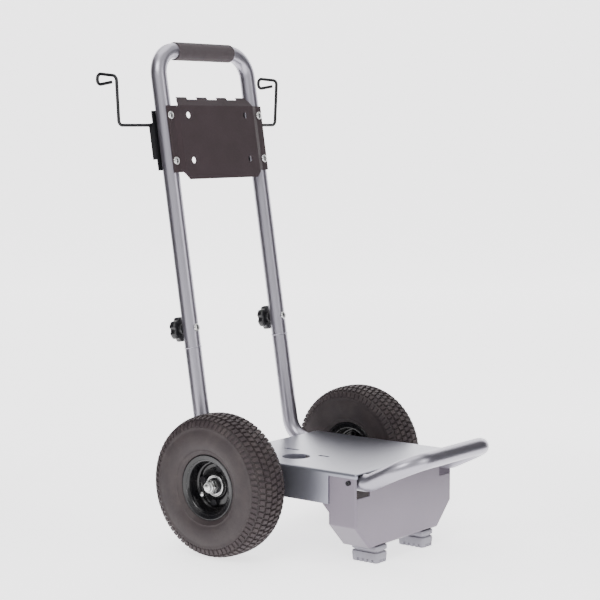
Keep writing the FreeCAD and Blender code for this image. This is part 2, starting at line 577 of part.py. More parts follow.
def toward(side):
    """The turn that points a fastener's shank across the cart, in from one side."""
    return FreeCAD.Rotation(vector(0, 1, 0), -90 * side)


def flange_fasteners():
    bolts, nuts, spacers = [], [], []
    outer = SIZE["deck_width"] / 2
    inner = TUBE_X - TUBE_RADIUS
    grip = "Sizes.deck_width / 2 - Sizes.tube_spacing / 2 + Sizes.tube_diameter / 2 + Sizes.small_nut + 2"
    gap = "Sizes.deck_width / 2 - Sizes.sheet - Sizes.tube_spacing / 2 - Sizes.tube_diameter / 2 - 0.1"
    for _, side in SIDES:
        for y, z in cross_bolt_places():
            at_front = y < 0
            face = outer - (SIZE["sheet"] + SIZE["fit_gap"] if at_front else 0)
            reach = grip if not at_front else grip + " - Sizes.sheet - Sizes.fit_gap"
            space = gap if not at_front else gap + " - Sizes.sheet - Sizes.fit_gap"
            bolts.append(button_bolt("flange_thread", reach, (side * face, y, z), toward(side)))
            nuts.append(hex_nut("flange_nut", "flange_thread", (side * (inner - 0.05), y, z), toward(side)))
            ring = cut(rod("Sizes.bolt_head / 2", space),
                       rod("Sizes.flange_thread / 2 + 0.1", "20", (0, 0, -5)))
            start = face - SIZE["sheet"] - 0.05
            spacers.append(place(ring, (side * start, y, z), toward(side)))
    node(group(bolts), "flange_bolts")
    node(group(nuts), "flange_nuts")
    node(group(spacers), "flange_spacers")


def foot_fasteners():
    bolts, nuts = [], []
    for _, side in SIDES:
        x, y = side * SIZE["foot_spacing"] / 2, -SIZE["foot_back"]
        head_z = SIZE["foot_notch_height"] + SIZE["head_height"] - 1
        grip = "Sizes.apron_bottom - Sizes.foot_notch_height - Sizes.head_height + Sizes.sheet + 10"
        bolts.append(hex_bolt("bolt_head", "foot_thread", grip, (x, y, head_z), UPRIGHT))
        nuts.append(hex_nut("bolt_head", "foot_thread", (x, y, SIZE["apron_bottom"] + SIZE["sheet"] + 0.05),
                            UPRIGHT))
    node(group(bolts), "foot_bolts")
    node(group(nuts), "foot_nuts")


# ---------------------------------------------------------------- axle and wheels

def axle_parts():
    half = "(Sizes.track / 2 + Sizes.hub_outset + Sizes.washer_thickness"
    half += " + Sizes.nut_height + Sizes.axle_tail)"
    length = SIZE["track"] / 2 + SIZE["hub_outset"] + SIZE["washer_thickness"] + SIZE["nut_height"]
    length += SIZE["axle_tail"]
    node(rod("Sizes.axle_diameter / 2", "2 * " + half), "axle",
         FreeCAD.Placement(vector(-length, SHIFT, AXLE_Z), ALONG_X))
    hub_end = SIZE["track"] / 2 + SIZE["hub_outset"]
    washers, nuts, spacers = [], [], []
    bore = "Sizes.axle_diameter / 2 + 0.03"
    for _, side in SIDES:
        out = FreeCAD.Rotation(vector(0, 1, 0), 90 * side)
        washer = cut(rod("Sizes.washer_diameter / 2", "Sizes.washer_thickness"), rod(bore, "10", (0, 0, -5)))
        start = hub_end + SIZE["slip_gap"]
        washers.append(place(washer, (side * start, 0, AXLE_Z), out))
        nut_start = start + SIZE["washer_thickness"] + 0.05
        collar = rod("Sizes.nut_flats / 2 - 1", "Sizes.nut_height")
        nut = cut(fuse(hexagon("Sizes.nut_flats", "Sizes.nut_height * 0.75"), collar),
                  rod(bore, "Sizes.nut_height + 10", (0, 0, -5)))
        nuts.append(place(nut, (side * nut_start, 0, AXLE_Z), out))
        spacer = cut(rod("Sizes.axle_diameter / 2 + 4", "Sizes.axle_spacer"),
                     rod(bore, "Sizes.axle_spacer + 10", (0, 0, -5)))
        spacers.append(place(spacer, (side * (SIZE["deck_width"] / 2 + SIZE["slip_gap"]), 0, AXLE_Z), out))
    node(group(washers), "axle_washers")
    node(group(nuts), "axle_nuts")
    node(group(spacers), "axle_spacers")


def axle_bracket(name, side):
    """A plate that carries the axle, welded inside one deck flange."""
    body = new_body()
    half = "Sizes.bracket_length / 2"
    low = "Sizes.deck_top - Sizes.flange_depth"
    high = "Sizes.deck_top - Sizes.sheet - Sizes.bend_radius"
    face = outline(body, "YZ_Plane", [("-" + half, low), (half, low), (half, high), ("-" + half, high)])
    pad(body, face, "Sizes.bracket_plate", reverse=side > 0)
    bore = disc(body, "YZ_Plane", "Sizes.axle_diameter / 2 + 0.03", "0", "Sizes.wheel_diameter / 2")
    body.Tip = pocket(body, bore, "40", both=True)
    inside = SIZE["deck_width"] / 2 - SIZE["sheet"] - 0.05
    node(body, name + "_axle_bracket", FreeCAD.Placement(vector(side * inside, SHIFT, 0), UPRIGHT))


def tyre_parts(name, spot):
    """Tyre with a flat tread band, and the air tube inside it, about the wheel's own axis."""
    ring = "Sizes.wheel_diameter / 2 - Sizes.tyre_section / 2"
    carcass = doc.addObject("Part::Torus", "Carcass")
    bind(carcass, Radius1=ring, Radius2="Sizes.tyre_section / 2")
    tread = cut(rod("Sizes.wheel_diameter / 2", "Sizes.tread_width", (0, 0, -SIZE["tread_width"] / 2)),
                rod("Sizes.wheel_diameter / 2 - Sizes.tyre_section / 2", "Sizes.tread_width + 20",
                    (0, 0, -SIZE["tread_width"] / 2 - 10)))
    cavity = doc.addObject("Part::Torus", "Cavity")
    bind(cavity, Radius1=ring, Radius2="Sizes.tyre_section / 2 - Sizes.tyre_wall")
    bore = rod("Sizes.rim_radius + Sizes.fit_gap", "Sizes.tyre_section + 20",
               (0, 0, -SIZE["tyre_section"] / 2 - 10))
    mouth = rod(ring, "Sizes.tyre_mouth", (0, 0, -SIZE["tyre_mouth"] / 2))
    node(cut(fuse(carcass, tread), cavity, bore, mouth), name + "_tyre", spot)
    skin = doc.addObject("Part::Torus", "Skin")
    bind(skin, Radius1=ring, Radius2="Sizes.tyre_section / 2 - Sizes.tyre_wall - 0.3")
    air = doc.addObject("Part::Torus", "Air")
    bind(air, Radius1=ring, Radius2="Sizes.tyre_section / 2 - Sizes.tyre_wall - 0.3 - Sizes.tube_skin")
    node(cut(skin, air), name + "_inner_tube", spot)


RIM_BOLT_TURNS = (79, 169, 259, 349)
VALVE_TURN = 124


def on_circle(radius, degrees, z):
    turn = math.radians(degrees)
    return (radius * math.cos(turn), radius * math.sin(turn), z)


def rim_half(label, spot):
    """A pressed half rim: dished disc, bead seat and rolled flange, opening along +Z."""
    section, reach = SIZE["tyre_section"] / 2, SIZE["wheel_diameter"] / 2 - SIZE["tyre_section"] / 2
    lip_z = math.sqrt(section ** 2 - (reach - SIZE["rim_lip"]) ** 2) + SIZE["fit_gap"]
    disc_part = rod("Sizes.rim_radius", "Sizes.rim_sheet", (0, 0, SIZE["fit_gap"] / 2))
    seat = rod("Sizes.rim_radius", "sqrt((Sizes.tyre_section / 2)^2 - (Sizes.wheel_diameter / 2"
               " - Sizes.tyre_section / 2 - Sizes.rim_lip)^2) + Sizes.fit_gap / 2 + Sizes.rim_sheet",
               (0, 0, SIZE["fit_gap"] / 2))
    hollow = rod("Sizes.rim_radius - Sizes.rim_sheet", "Sizes.tyre_section",
                 (0, 0, SIZE["fit_gap"] / 2 + SIZE["rim_sheet"]))
    flange = rod("Sizes.rim_lip", "Sizes.rim_sheet", (0, 0, lip_z))
    flange_hole = rod("Sizes.rim_radius - Sizes.rim_sheet", "20", (0, 0, lip_z - 5))
    hub_hole = rod("Sizes.hub_diameter / 2 + Sizes.fit_gap", "20", (0, 0, -5))
    drills = [rod("Sizes.rim_thread / 2 + Sizes.fit_gap", "20",
                  on_circle(SIZE["rim_bolt_circle"] / 2, turn, -5)) for turn in RIM_BOLT_TURNS]
    drills.append(rod("4.3", "20", on_circle(SIZE["rim_bolt_circle"] / 2, VALVE_TURN, -5)))
    shape = cut(fuse(disc_part, cut(seat, hollow), cut(flange, flange_hole)), hub_hole, *drills)
    node(shape, label, spot)


def wheel(name, side):
    """One pneumatic wheel; its own +Z points away from the cart."""
    out = FreeCAD.Rotation(vector(0, 1, 0), 90 * side)
    spot = FreeCAD.Placement(vector(side * SIZE["track"] / 2, SHIFT, AXLE_Z), out)
    tyre_parts(name, spot)
    rim_half(name + "_rim_outer", spot)
    flip = FreeCAD.Placement(vector(0, 0, 0), FreeCAD.Rotation(vector(*on_circle(1, VALVE_TURN, 0)), 180))
    rim_half(name + "_rim_inner", spot.multiply(flip))
    inner_end = SIZE["hub_outset"] - SIZE["hub_length"]
    race = "(Sizes.hub_diameter / 2 - Sizes.hub_wall)"
    hub = cut(rod("Sizes.hub_diameter / 2", "Sizes.hub_length", (0, 0, inner_end)),
              rod(race, "Sizes.hub_length + 10", (0, 0, inner_end - 5)))
    node(hub, name + "_hub", spot)
    bearings = []
    for start in (inner_end + 0.5, SIZE["hub_outset"] - SIZE["bearing_width"] - 0.5):
        bearings.append(cut(rod(race + " - 0.02", "Sizes.bearing_width", (0, 0, start)),
                            rod("Sizes.axle_diameter / 2 + Sizes.running_gap", "Sizes.bearing_width + 4",
                                (0, 0, start - 2))))
    node(group(bearings), name + "_bearings", spot)
    face = SIZE["fit_gap"] / 2 + SIZE["rim_sheet"] + 0.05
    bolts, nuts = [], []
    for turn in RIM_BOLT_TURNS:
        x, y, _ = on_circle(SIZE["rim_bolt_circle"] / 2, turn, 0)
        down = FreeCAD.Rotation(vector(1, 0, 0), 180)
        bolts.append(hex_bolt("bolt_head", "rim_thread", "2 * Sizes.rim_sheet + Sizes.small_nut + 2",
                              (x, y, face), down))
        nuts.append(hex_nut("bolt_head", "rim_thread", (x, y, -face - 0.05), down))
    node(group(bolts), name + "_rim_bolts", spot)
    node(group(nuts), name + "_rim_nuts", spot)
    valve_base = on_circle(SIZE["rim_bolt_circle"] / 2, VALVE_TURN, -SIZE["rim_sheet"])
    valve_cap = on_circle(SIZE["rim_bolt_circle"] / 2, VALVE_TURN, face)
    node(fuse(rod("4.2", "2 * Sizes.rim_sheet + 1", valve_base),
              rod("Sizes.valve_cap / 2 + 1", "3", valve_cap),
              rod("Sizes.valve_cap / 2", "Sizes.valve_length", valve_cap)), name + "_valve", spot)


# ---------------------------------------------------------------- lift-off handle

def across_bolt_holes(heights, diameter):
    """Drills along the handle's own Y through both of its tubes."""
    drills = []
    for _, side in SIDES:
        for height in heights:
            start = (side * TUBE_X, -TUBE_RADIUS - 10, height)
            drills.append(rod("%s / 2 + Sizes.fit_gap" % diameter, "Sizes.tube_diameter + 20",
                              start, ALONG_Y))
    return drills


TRAY_BOLTS = (SIZE["tray_low_bolt"], SIZE["tray_low_bolt"] + SIZE["tray_bolt_pitch"])


def upright(name, side):
    """The straight handle tube from the seam up to the joint under the tray."""
    x = side * TUBE_X
    main = rod("Sizes.tube_diameter / 2", "Sizes.joint_height", (x, 0, 0))
    plug = rod("Sizes.tube_diameter / 2 - Sizes.handle_wall - Sizes.fit_gap", "Sizes.inner_spigot + 10",
               (x, 0, SIZE["joint_height"] - 10))
    bore = rod("Sizes.tube_diameter / 2 - Sizes.handle_wall", "Sizes.joint_height - 10 + 1", (x, 0, -1))
    plug_bore = rod("Sizes.tube_diameter / 2 - 2 * Sizes.handle_wall", "Sizes.inner_spigot + 40",
                    (x, 0, SIZE["joint_height"] - 20))
    drills = across_bolt_holes(TRAY_BOLTS, "Sizes.tray_thread")
    drills += across_bolt_holes([SIZE["knob_height"]], "Sizes.clamp_thread")
    node(cut(fuse(main, plug), bore, plug_bore, *drills), name + "_upright", HANDLE)


def handle_loop():
    """The top of the handle: two legs and a cross bar bent from one tube."""
    start = SIZE["joint_height"] + SIZE["fit_gap"]
    top = SIZE["handle_length"]
    points = [vector(-TUBE_X, 0, start), vector(-TUBE_X, 0, top), vector(TUBE_X, 0, top),
              vector(TUBE_X, 0, start)]
    radii = [SIZE["loop_corner"], SIZE["loop_corner"]]
    outer = bent_rod(points, radii, "Sizes.tube_diameter / 2")
    inner = bent_rod(points, radii, "Sizes.tube_diameter / 2 - Sizes.handle_wall")
    node(cut(outer, inner, *across_bolt_holes(TRAY_BOLTS, "Sizes.tray_thread")), "handle_loop", HANDLE)
    start = (-SIZE["grip_length"] / 2, 0, top)
    sleeve = cut(rod("Sizes.grip_diameter / 2", "Sizes.grip_length", start, ALONG_X),
                 rod("Sizes.tube_diameter / 2 + 0.05", "Sizes.grip_length + 20",
                     (start[0] - 10, 0, top), ALONG_X))
    node(sleeve, "grip", HANDLE)


def clamp_bolts():
    bolts = []
    grip = "Sizes.tube_diameter + Sizes.slip_gap + Sizes.knob_boss + Sizes.knob_bite"
    for _, side in SIDES:
        spot = (side * TUBE_X, -TUBE_RADIUS - 0.05, SIZE["knob_height"])
        bolts.append(carriage_bolt("clamp_thread", grip, spot))
    node(group(bolts), "clamp_bolts", HANDLE)


def carriage_bolt(thread, grip, spot):
    """A round-headed bolt whose head lies in front of the spot and whose shank runs to the rear."""
    head = doc.addObject("Part::Cone", "Head")
    bind(head, Radius1="Sizes.carriage_head / 2 - 3", Radius2="Sizes.carriage_head / 2",
         Height="Sizes.carriage_rise")
    place(head, (0, 0, -SIZE["carriage_rise"]))
    return place(fuse(head, rod("Sizes.%s / 2" % thread, grip)), spot, ALONG_Y)


def knob(name, side):
    """A star knob that screws onto the clamp bolt behind the tube."""
    body = new_body()
    back = TUBE_RADIUS + SIZE["slip_gap"]
    star = pad(body, lift(disc(body, "XY_Plane", "Sizes.knob_diameter / 2", "0", "0"),
                          "Sizes.knob_boss"), "Sizes.knob_width")
    doc.recompute()
    body.Tip = star
    scoop = pocket(body, disc(body, "XY_Plane", "Sizes.knob_diameter / 7", "Sizes.knob_diameter * 0.56",
                              "0"), "Sizes.knob_boss + Sizes.knob_width + 5", reverse=True)
    lobes = body.newObject("PartDesign::PolarPattern", "Lobes")
    lobes.Originals = [scoop]
    lobes.Axis = (origin_plane(body, "Z_Axis"), [""])
    lobes.Angle = 360
    lobes.Occurrences = 6
    body.Tip = lobes
    boss = pad(body, disc(body, "XY_Plane", "Sizes.insert_diameter / 2 + 5", "0", "0"),
               "Sizes.knob_boss + 1")
    bore = pocket(body, disc(body, "XY_Plane", "Sizes.insert_diameter / 2 + 0.02", "0", "0"),
                  "Sizes.knob_boss + Sizes.knob_bite", reverse=True)
    body.Tip = bore
    spot = HANDLE.multiply(FreeCAD.Placement(vector(side * TUBE_X, back, SIZE["knob_height"]), ALONG_Y))
    node(body, name + "_knob", spot)
    insert = cut(rod("Sizes.insert_diameter / 2", "Sizes.knob_boss + Sizes.knob_bite - 0.05"),
                 rod("Sizes.clamp_thread / 2 + Sizes.running_gap", "40", (0, 0, -5)))
    node(insert, name + "_knob_insert", spot)


# ---------------------------------------------------------------- tray and hooks

def tool_tray():
    """A stepped sheet tray on the front of the handle tubes, with a scalloped lip on top."""
    body = new_body()
    low = "Sizes.tray_low_bolt - Sizes.tray_drop"
    high = "Sizes.tray_low_bolt + Sizes.tray_bolt_pitch + Sizes.ear_rise"
    ear = "-(Sizes.tube_diameter / 2 + 0.05)"
    panel = "-(Sizes.tube_diameter / 2 + 0.05 + Sizes.tray_step)"
    back = [("-Sizes.ear_outer", ear), ("-Sizes.ear_inner", ear), ("-Sizes.tray_half", panel),
            ("Sizes.tray_half", panel), ("Sizes.ear_inner", ear), ("Sizes.ear_outer", ear)]
    front = [(x, y + " - Sizes.tray_sheet") for x, y in reversed(back)]
    section = lift(outline(body, "XY_Plane", back + front), low)
    pad(body, section, "Sizes.tray_drop + Sizes.tray_bolt_pitch + Sizes.ear_rise")
    rise, reach = high + " + Sizes.lip_rise", panel + " + Sizes.lip_set"
    lip = outline(body, "YZ_Plane", [(panel, high + " - 1"), (panel, high), (reach, rise),
                                     (reach + " - Sizes.tray_sheet", rise),
                                     (panel + " - Sizes.tray_sheet", high),
                                     (panel + " - Sizes.tray_sheet", high + " - 1")])
    pad(body, lip, "2 * Sizes.tray_half", both=True)
    for sign in ("-", ""):
        corner = outline(body, "XZ_Plane", [(sign + "(Sizes.ear_outer + 5)", low + " - 5"),
                                            (sign + "(Sizes.ear_outer + 5)",
                                             "Sizes.tray_low_bolt - Sizes.ear_drop"),
                                            (sign + "(Sizes.ear_inner - 8)",
                                             "Sizes.tray_low_bolt - Sizes.ear_drop"),
                                            (sign + "(Sizes.tray_half - 10)", low),
                                            (sign + "(Sizes.tray_half - 10)", low + " - 5")])
        pocket(body, corner, "200", both=True)
        side_cut = outline(body, "XZ_Plane", [(sign + "(Sizes.tray_half + 5)", high + " + 0.01"),
                                              (sign + "Sizes.tray_half", high + " + 0.01"),
                                              (sign + "(Sizes.tray_half - 9)", rise + " + 2"),
                                              (sign + "(Sizes.tray_half + 5)", rise + " + 2")])
        pocket(body, side_cut, "200", both=True)
    for step in (-2, -1, 0, 1, 2):
        left = "%d * Sizes.scallop_pitch - Sizes.scallop_gap / 2 + 0.001" % step
        right = "%d * Sizes.scallop_pitch + Sizes.scallop_gap / 2" % step
        notch = outline(body, "XZ_Plane", [(left, rise + " - Sizes.scallop_depth"),
                                           (right, rise + " - Sizes.scallop_depth"),
                                           (right, rise + " + 3"), (left, rise + " + 3")])
        pocket(body, notch, "200", both=True)
    for sign in ("-", ""):
        for height in ("Sizes.tray_low_bolt", "Sizes.tray_low_bolt + Sizes.tray_bolt_pitch"):
            hole = disc(body, "XZ_Plane", "Sizes.tray_hole / 2", sign + "Sizes.tray_hole_spacing / 2", height)
            pocket(body, hole, "200", both=True)
            bolt = disc(body, "XZ_Plane", "Sizes.tray_thread / 2 + Sizes.fit_gap",
                        sign + "Sizes.tube_spacing / 2", height)
            body.Tip = pocket(body, bolt, "200", both=True)
    node(body, "tool_tray", HANDLE)


def tray_fasteners():
    bolts, nuts = [], []
    grip = "Sizes.tube_diameter + Sizes.tray_sheet + Sizes.hook_plate + Sizes.small_nut + 2"
    front = -TUBE_RADIUS - SIZE["tray_sheet"] - 0.1
    back = TUBE_RADIUS + SIZE["hook_plate"] + 0.1
    for _, side in SIDES:
        for height in TRAY_BOLTS:
            bolts.append(carriage_bolt("tray_thread", grip, (side * TUBE_X, front, height)))
            nuts.append(hex_nut("bolt_head", "tray_thread", (side * TUBE_X, back, height), ALONG_Y))
    node(group(bolts), "tray_bolts", HANDLE)
    node(group(nuts), "tray_nuts", HANDLE)


def hook_set(name, side):
    """A clamp plate and block behind one tube, and the bent wire hook that they hold."""
    low, high = TRAY_BOLTS
    drills = [rod("Sizes.tray_thread / 2 + Sizes.fit_gap", "40", (side * TUBE_X, 0, height), ALONG_Y)
              for height in TRAY_BOLTS]
    corner = (side * TUBE_X - SIZE["plate_width"] / 2, TUBE_RADIUS + 0.05, low - SIZE["plate_margin"])
    plate = block("Sizes.plate_width", "Sizes.hook_plate", "Sizes.tray_bolt_pitch + 2 * Sizes.plate_margin",
                  corner)
    node(cut(plate, *drills), name + "_hook_plate", HANDLE)
    corner = (side * TUBE_X - SIZE["block_width"] / 2, TUBE_RADIUS + SIZE["hook_plate"] + 0.1,
              low + SIZE["block_margin"])
    holder = block("Sizes.block_width", "Sizes.block_depth",
                   "Sizes.tray_bolt_pitch - 2 * Sizes.block_margin", corner)
    seat = rod("Sizes.wire / 2 + 0.05", "Sizes.block_width + 20",
               (side * TUBE_X - SIZE["block_width"] / 2 - 10, WIRE_BACK, SIZE["wire_level"]), ALONG_X)
    node(cut(holder, seat), name + "_hook_block", HANDLE)
    root, up, out = HOOK_ROOT, vector(0, 0, 1), vector(side, 0, 0)
    rear = vector(0, 1, 0)
    start = root + out * (TUBE_X - SIZE["block_width"] / 2 - 4)
    elbow = root + out * (TUBE_X + SIZE["hook_reach"])
    shoulder = elbow + out * SIZE["hook_lean"] + up * SIZE["hook_height"]
    rise = up * SIZE["hook_rise"]
    tail = shoulder + rear * SIZE["hook_run"] + rise
    under = tail - up * (2 * SIZE["hook_curl"]) - rise
    tip = under - rear * SIZE["hook_return"] + rise
    radii = [SIZE["hook_bend"], SIZE["hook_bend"], SIZE["hook_curl"] - 0.1, SIZE["hook_curl"] - 0.1]
    node(bent_rod([start, elbow, shoulder, tail, under, tip], radii, "Sizes.wire / 2"), name + "_hook")


deck_plate()
front_apron()
flange_fasteners()
foot_fasteners()
axle_parts()
for side_name, side in SIDES:
    foot(side_name, side)
    axle_bracket(side_name, side)
    wheel(side_name, side)
    upright(side_name, side)
    knob(side_name, side)
    hook_set(side_name, side)
handle_loop()
clamp_bolts()
tool_tray()
tray_fasteners()


# ---------------------------------------------------------------- checks and files

doc.recompute()
faults = [item.Name + " " + item.Label for item in doc.Objects
          if "Invalid" in item.State or "Error" in item.State]
faults += [item.Label for item in nodes if item.Shape.isNull() or not item.Shape.isValid()]
for item in doc.Objects:
    if item.TypeId == "PartDesign::Pocket" and item.BaseFeature:
        if item.Shape.Volume > item.BaseFeature.Shape.Volume - 0.01:
            faults.append("no cut: " + item.Name)
if faults:
    raise SystemExit("failed: " + ", ".join(faults))

os.makedirs("parts", exist_ok=True)
for item in nodes:
    item.Shape.exportStep(os.path.join("parts", item.Label + ".step"))
print(len(nodes), "nodes")
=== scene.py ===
"""Looks for a two-wheeled hand cart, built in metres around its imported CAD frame."""
import json
import logging
import math
from dataclasses import dataclass, field
from enum import Enum
from typing import Callable, Iterable, Mapping, Sequence

import bmesh
import bpy
from mathutils import Matrix, Vector, noise


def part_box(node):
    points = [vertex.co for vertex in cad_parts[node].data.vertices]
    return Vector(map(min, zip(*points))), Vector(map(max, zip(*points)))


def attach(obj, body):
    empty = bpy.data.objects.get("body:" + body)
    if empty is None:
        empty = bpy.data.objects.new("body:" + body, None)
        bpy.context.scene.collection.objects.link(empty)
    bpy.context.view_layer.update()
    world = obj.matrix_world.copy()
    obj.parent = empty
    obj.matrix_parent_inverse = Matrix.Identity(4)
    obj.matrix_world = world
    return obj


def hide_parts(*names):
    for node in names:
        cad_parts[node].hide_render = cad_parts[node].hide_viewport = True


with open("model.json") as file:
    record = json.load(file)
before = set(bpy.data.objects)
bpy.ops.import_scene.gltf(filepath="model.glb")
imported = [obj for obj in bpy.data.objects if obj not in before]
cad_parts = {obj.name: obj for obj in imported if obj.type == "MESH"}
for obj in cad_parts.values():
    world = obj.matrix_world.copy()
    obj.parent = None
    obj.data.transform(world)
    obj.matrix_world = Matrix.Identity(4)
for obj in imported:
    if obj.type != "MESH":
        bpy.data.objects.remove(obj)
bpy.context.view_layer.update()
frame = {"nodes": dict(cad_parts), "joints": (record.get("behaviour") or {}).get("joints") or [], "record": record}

log = logging.getLogger("hand_cart")
MM = 0.001
NOISE_LOW, NOISE_HIGH = 0.3, 0.7  # the part of its range that noise mostly fills
Socket = bpy.types.NodeSocket
Profile = Sequence[tuple[float, float]]


# ------------------------------------------------------------------ shader nodes

def linear(colour: str) -> tuple[float, float, float, float]:
    """Turn an sRGB hex colour into linear values.

    Args:
        colour: six hex digits after a hash sign.

    Returns:
        Linear red, green and blue, and an alpha of one.
    """
    parts = [int(colour[i:i + 2], 16) / 255 for i in (1, 3, 5)]
    return (*(c / 12.92 if c <= 0.04045 else ((c + 0.055) / 1.055) ** 2.4 for c in parts), 1.0)


def per_metre(feature_mm: float) -> float:
    """Texture scale whose features are about the given size.

    Args:
        feature_mm: size of one feature in millimetres.

    Returns:
        Features per metre.
    """
    return 1.0 / (feature_mm * MM)


def add_node(
    tree: bpy.types.NodeTree,
    kind: str,
    settings: Mapping[str, object] | None = None,
    inputs: Mapping[str | int, object] | None = None,
) -> bpy.types.Node:
    """Add a shader node, set its properties, and set or link its inputs.

    Args:
        tree: the node tree to add to.
        kind: the node's type name.
        settings: properties of the node itself.
        inputs: plain values, or sockets to link from, by input name or number.

    Returns:
        The new node.
    """
    node = tree.nodes.new(kind)
    for key, value in (settings or {}).items():
        setattr(node, key, value)
    for key, value in (inputs or {}).items():
        if isinstance(value, Socket):
            tree.links.new(value, node.inputs[key])
        else:
            node.inputs[key].default_value = value
    return node


class Axis(Enum):
    """Which way the fine lines of a drawn or brushed surface run."""

    NONE = (1.0, 1.0, 1.0)
    X = (0.02, 1.0, 1.0)
    Y = (1.0, 0.02, 1.0)
    Z = (1.0, 1.0, 0.02)


@dataclass(frozen=True)
class Finish:
    """One finish, with every pattern sized in real millimetres."""

    name: str
    base: str
    tint: str
    metallic: float = 0.0
    roughness: float = 0.5
    spread: float = 0.08
    blotch_mm: float = 60.0
    blend: float = 0.5
    grain_mm: float = 0.8
    grain_bump_mm: float = 0.02
    peel_mm: float = 0.0
    peel_bump_mm: float = 0.0
    lines: Axis = Axis.NONE
    line_mm: float = 0.4
    line_bump_mm: float = 0.0
    pores_mm: float = 0.0
    pore_bump_mm: float = 0.0
    flake: float = 0.0
    edge: str | None = None
    edge_mm: float = 0.8
    round_mm: float = 0.5
    coat: float = 0.0
    coat_roughness: float = 0.08
    dust: float = 0.0
    dust_colour: str = "#8B8078"
    specular: float = 0.5
    flake_mm: float = 0.5
    dust_mm: float = 25.0
    rub_mm: float = 6.0

    def build(self) -> bpy.types.Material:
        """Make the material.

        Returns:
            A procedural material with colour, roughness and relief of its own.
        """
        material = bpy.data.materials.new(self.name)
        material.use_nodes = True
        tree = material.node_tree
        tree.nodes.clear()
        place = add_node(tree, "ShaderNodeTexCoord").outputs["Object"]
        normal = self._relief(tree, place)
        colour, rough = self._colour(tree, place)
        shader = add_node(tree, "ShaderNodeBsdfPrincipled", None, {
            "Base Color": colour, "Roughness": rough, "Metallic": self.metallic,
            "Specular IOR Level": self.specular, "Coat Weight": self.coat,
            "Coat Roughness": self.coat_roughness, "Normal": normal})
        add_node(tree, "ShaderNodeOutputMaterial", None, {"Surface": shader.outputs[0]})
        return material

    def _relief(self, tree: bpy.types.NodeTree, place: Socket) -> Socket:
        """Soften the edges, then raise grain, orange peel, drawing lines and pores.

        Args:
            tree: the material's nodes.
            place: object coordinates in metres.

        Returns:
            The normal to shade with.
        """
        normal = add_node(tree, "ShaderNodeBevel", {"samples": 4}, {"Radius": self.round_mm * MM}).outputs[0]
        layers = ((self.grain_mm, 3.0, Axis.NONE, self.grain_bump_mm),
                  (self.peel_mm, 1.0, Axis.NONE, self.peel_bump_mm),
                  (self.line_mm, 3.0, self.lines, self.line_bump_mm))
        for size_mm, detail, run, depth_mm in layers:
            if not depth_mm:
                continue
            along = add_node(tree, "ShaderNodeMapping", None, {
                "Vector": place, "Scale": run.value}).outputs[0]
            height = add_node(tree, "ShaderNodeTexNoise", None, {
                "Vector": along, "Scale": per_metre(size_mm), "Detail": detail}).outputs[0]
            normal = add_node(tree, "ShaderNodeBump", None, {
                "Distance": depth_mm * MM, "Height": height, "Normal": normal}).outputs[0]
        if self.pore_bump_mm:
            cells = add_node(tree, "ShaderNodeTexVoronoi", None, {
                "Vector": place, "Scale": per_metre(self.pores_mm)}).outputs["Distance"]
            pits = add_node(tree, "ShaderNodeMapRange", None, {0: cells, 1: 0.0, 2: 0.45}).outputs[0]
            normal = add_node(tree, "ShaderNodeBump", None, {
                "Distance": self.pore_bump_mm * MM, "Height": pits, "Normal": normal}).outputs[0]
        return normal

    def _colour(self, tree: bpy.types.NodeTree, place: Socket) -> tuple[Socket, Socket]:
        """Lay the base colour with its blotches, flakes, dust and worn edges.

        Args:
            tree: the material's nodes.
            place: object coordinates in metres.

        Returns:
            The colour and the roughness.
        """
        wide = add_node(tree, "ShaderNodeTexNoise", None, {
            "Vector": place, "Scale": per_metre(self.blotch_mm), "Detail": 4.0}).outputs[0]
        blotch = add_node(tree, "ShaderNodeMapRange", None, {
            0: wide, 1: NOISE_LOW, 2: NOISE_HIGH, 4: self.blend}).outputs[0]
        colour = add_node(tree, "ShaderNodeMix", {"data_type": "RGBA"}, {
            0: blotch, 6: linear(self.base), 7: linear(self.tint)}).outputs[2]
        fine = add_node(tree, "ShaderNodeTexNoise", None, {
            "Vector": place, "Scale": per_metre(self.grain_mm * 4), "Detail": 4.0}).outputs[0]
        rough = add_node(tree, "ShaderNodeMapRange", None, {
            0: fine, 1: NOISE_LOW, 2: NOISE_HIGH, 3: self.roughness - self.spread,
            4: self.roughness + self.spread}).outputs[0]
        if self.flake:
            cells = add_node(tree, "ShaderNodeTexVoronoi", None, {
                "Vector": place, "Scale": per_metre(self.flake_mm)}).outputs["Color"]
            shade = add_node(tree, "ShaderNodeMapRange", None, {
                0: cells, 3: 1.0 - self.flake, 4: 1.0 + self.flake}).outputs[0]
            colour = add_node(tree, "ShaderNodeMix", {"data_type": "RGBA", "blend_type": "MULTIPLY"}, {
                0: 1.0, 6: colour, 7: shade}).outputs[2]
        if self.dust:
            patches = add_node(tree, "ShaderNodeTexNoise", None, {
                "Vector": place, "Scale": per_metre(self.dust_mm), "Detail": 5.0}).outputs[0]
            patch = add_node(tree, "ShaderNodeMapRange", None, {
                0: patches, 1: 0.42, 2: 0.7, 4: self.dust}).outputs[0]
            facing = add_node(tree, "ShaderNodeNewGeometry").outputs["Normal"]
            up = add_node(tree, "ShaderNodeSeparateXYZ", None, {0: facing}).outputs[2]
            lying = add_node(tree, "ShaderNodeMapRange", None, {
                0: up, 1: -0.4, 2: 0.9, 3: 0.35}).outputs[0]
            amount = add_node(tree, "ShaderNodeMath", {"operation": "MULTIPLY"}, {
                0: patch, 1: lying}).outputs[0]
            colour = add_node(tree, "ShaderNodeMix", {"data_type": "RGBA"}, {
                0: amount, 6: colour, 7: linear(self.dust_colour)}).outputs[2]
        if self.edge:
            colour = add_node(tree, "ShaderNodeMix", {"data_type": "RGBA"}, {
                0: self._worn(tree, place), 6: colour, 7: linear(self.edge)}).outputs[2]
        return colour, rough

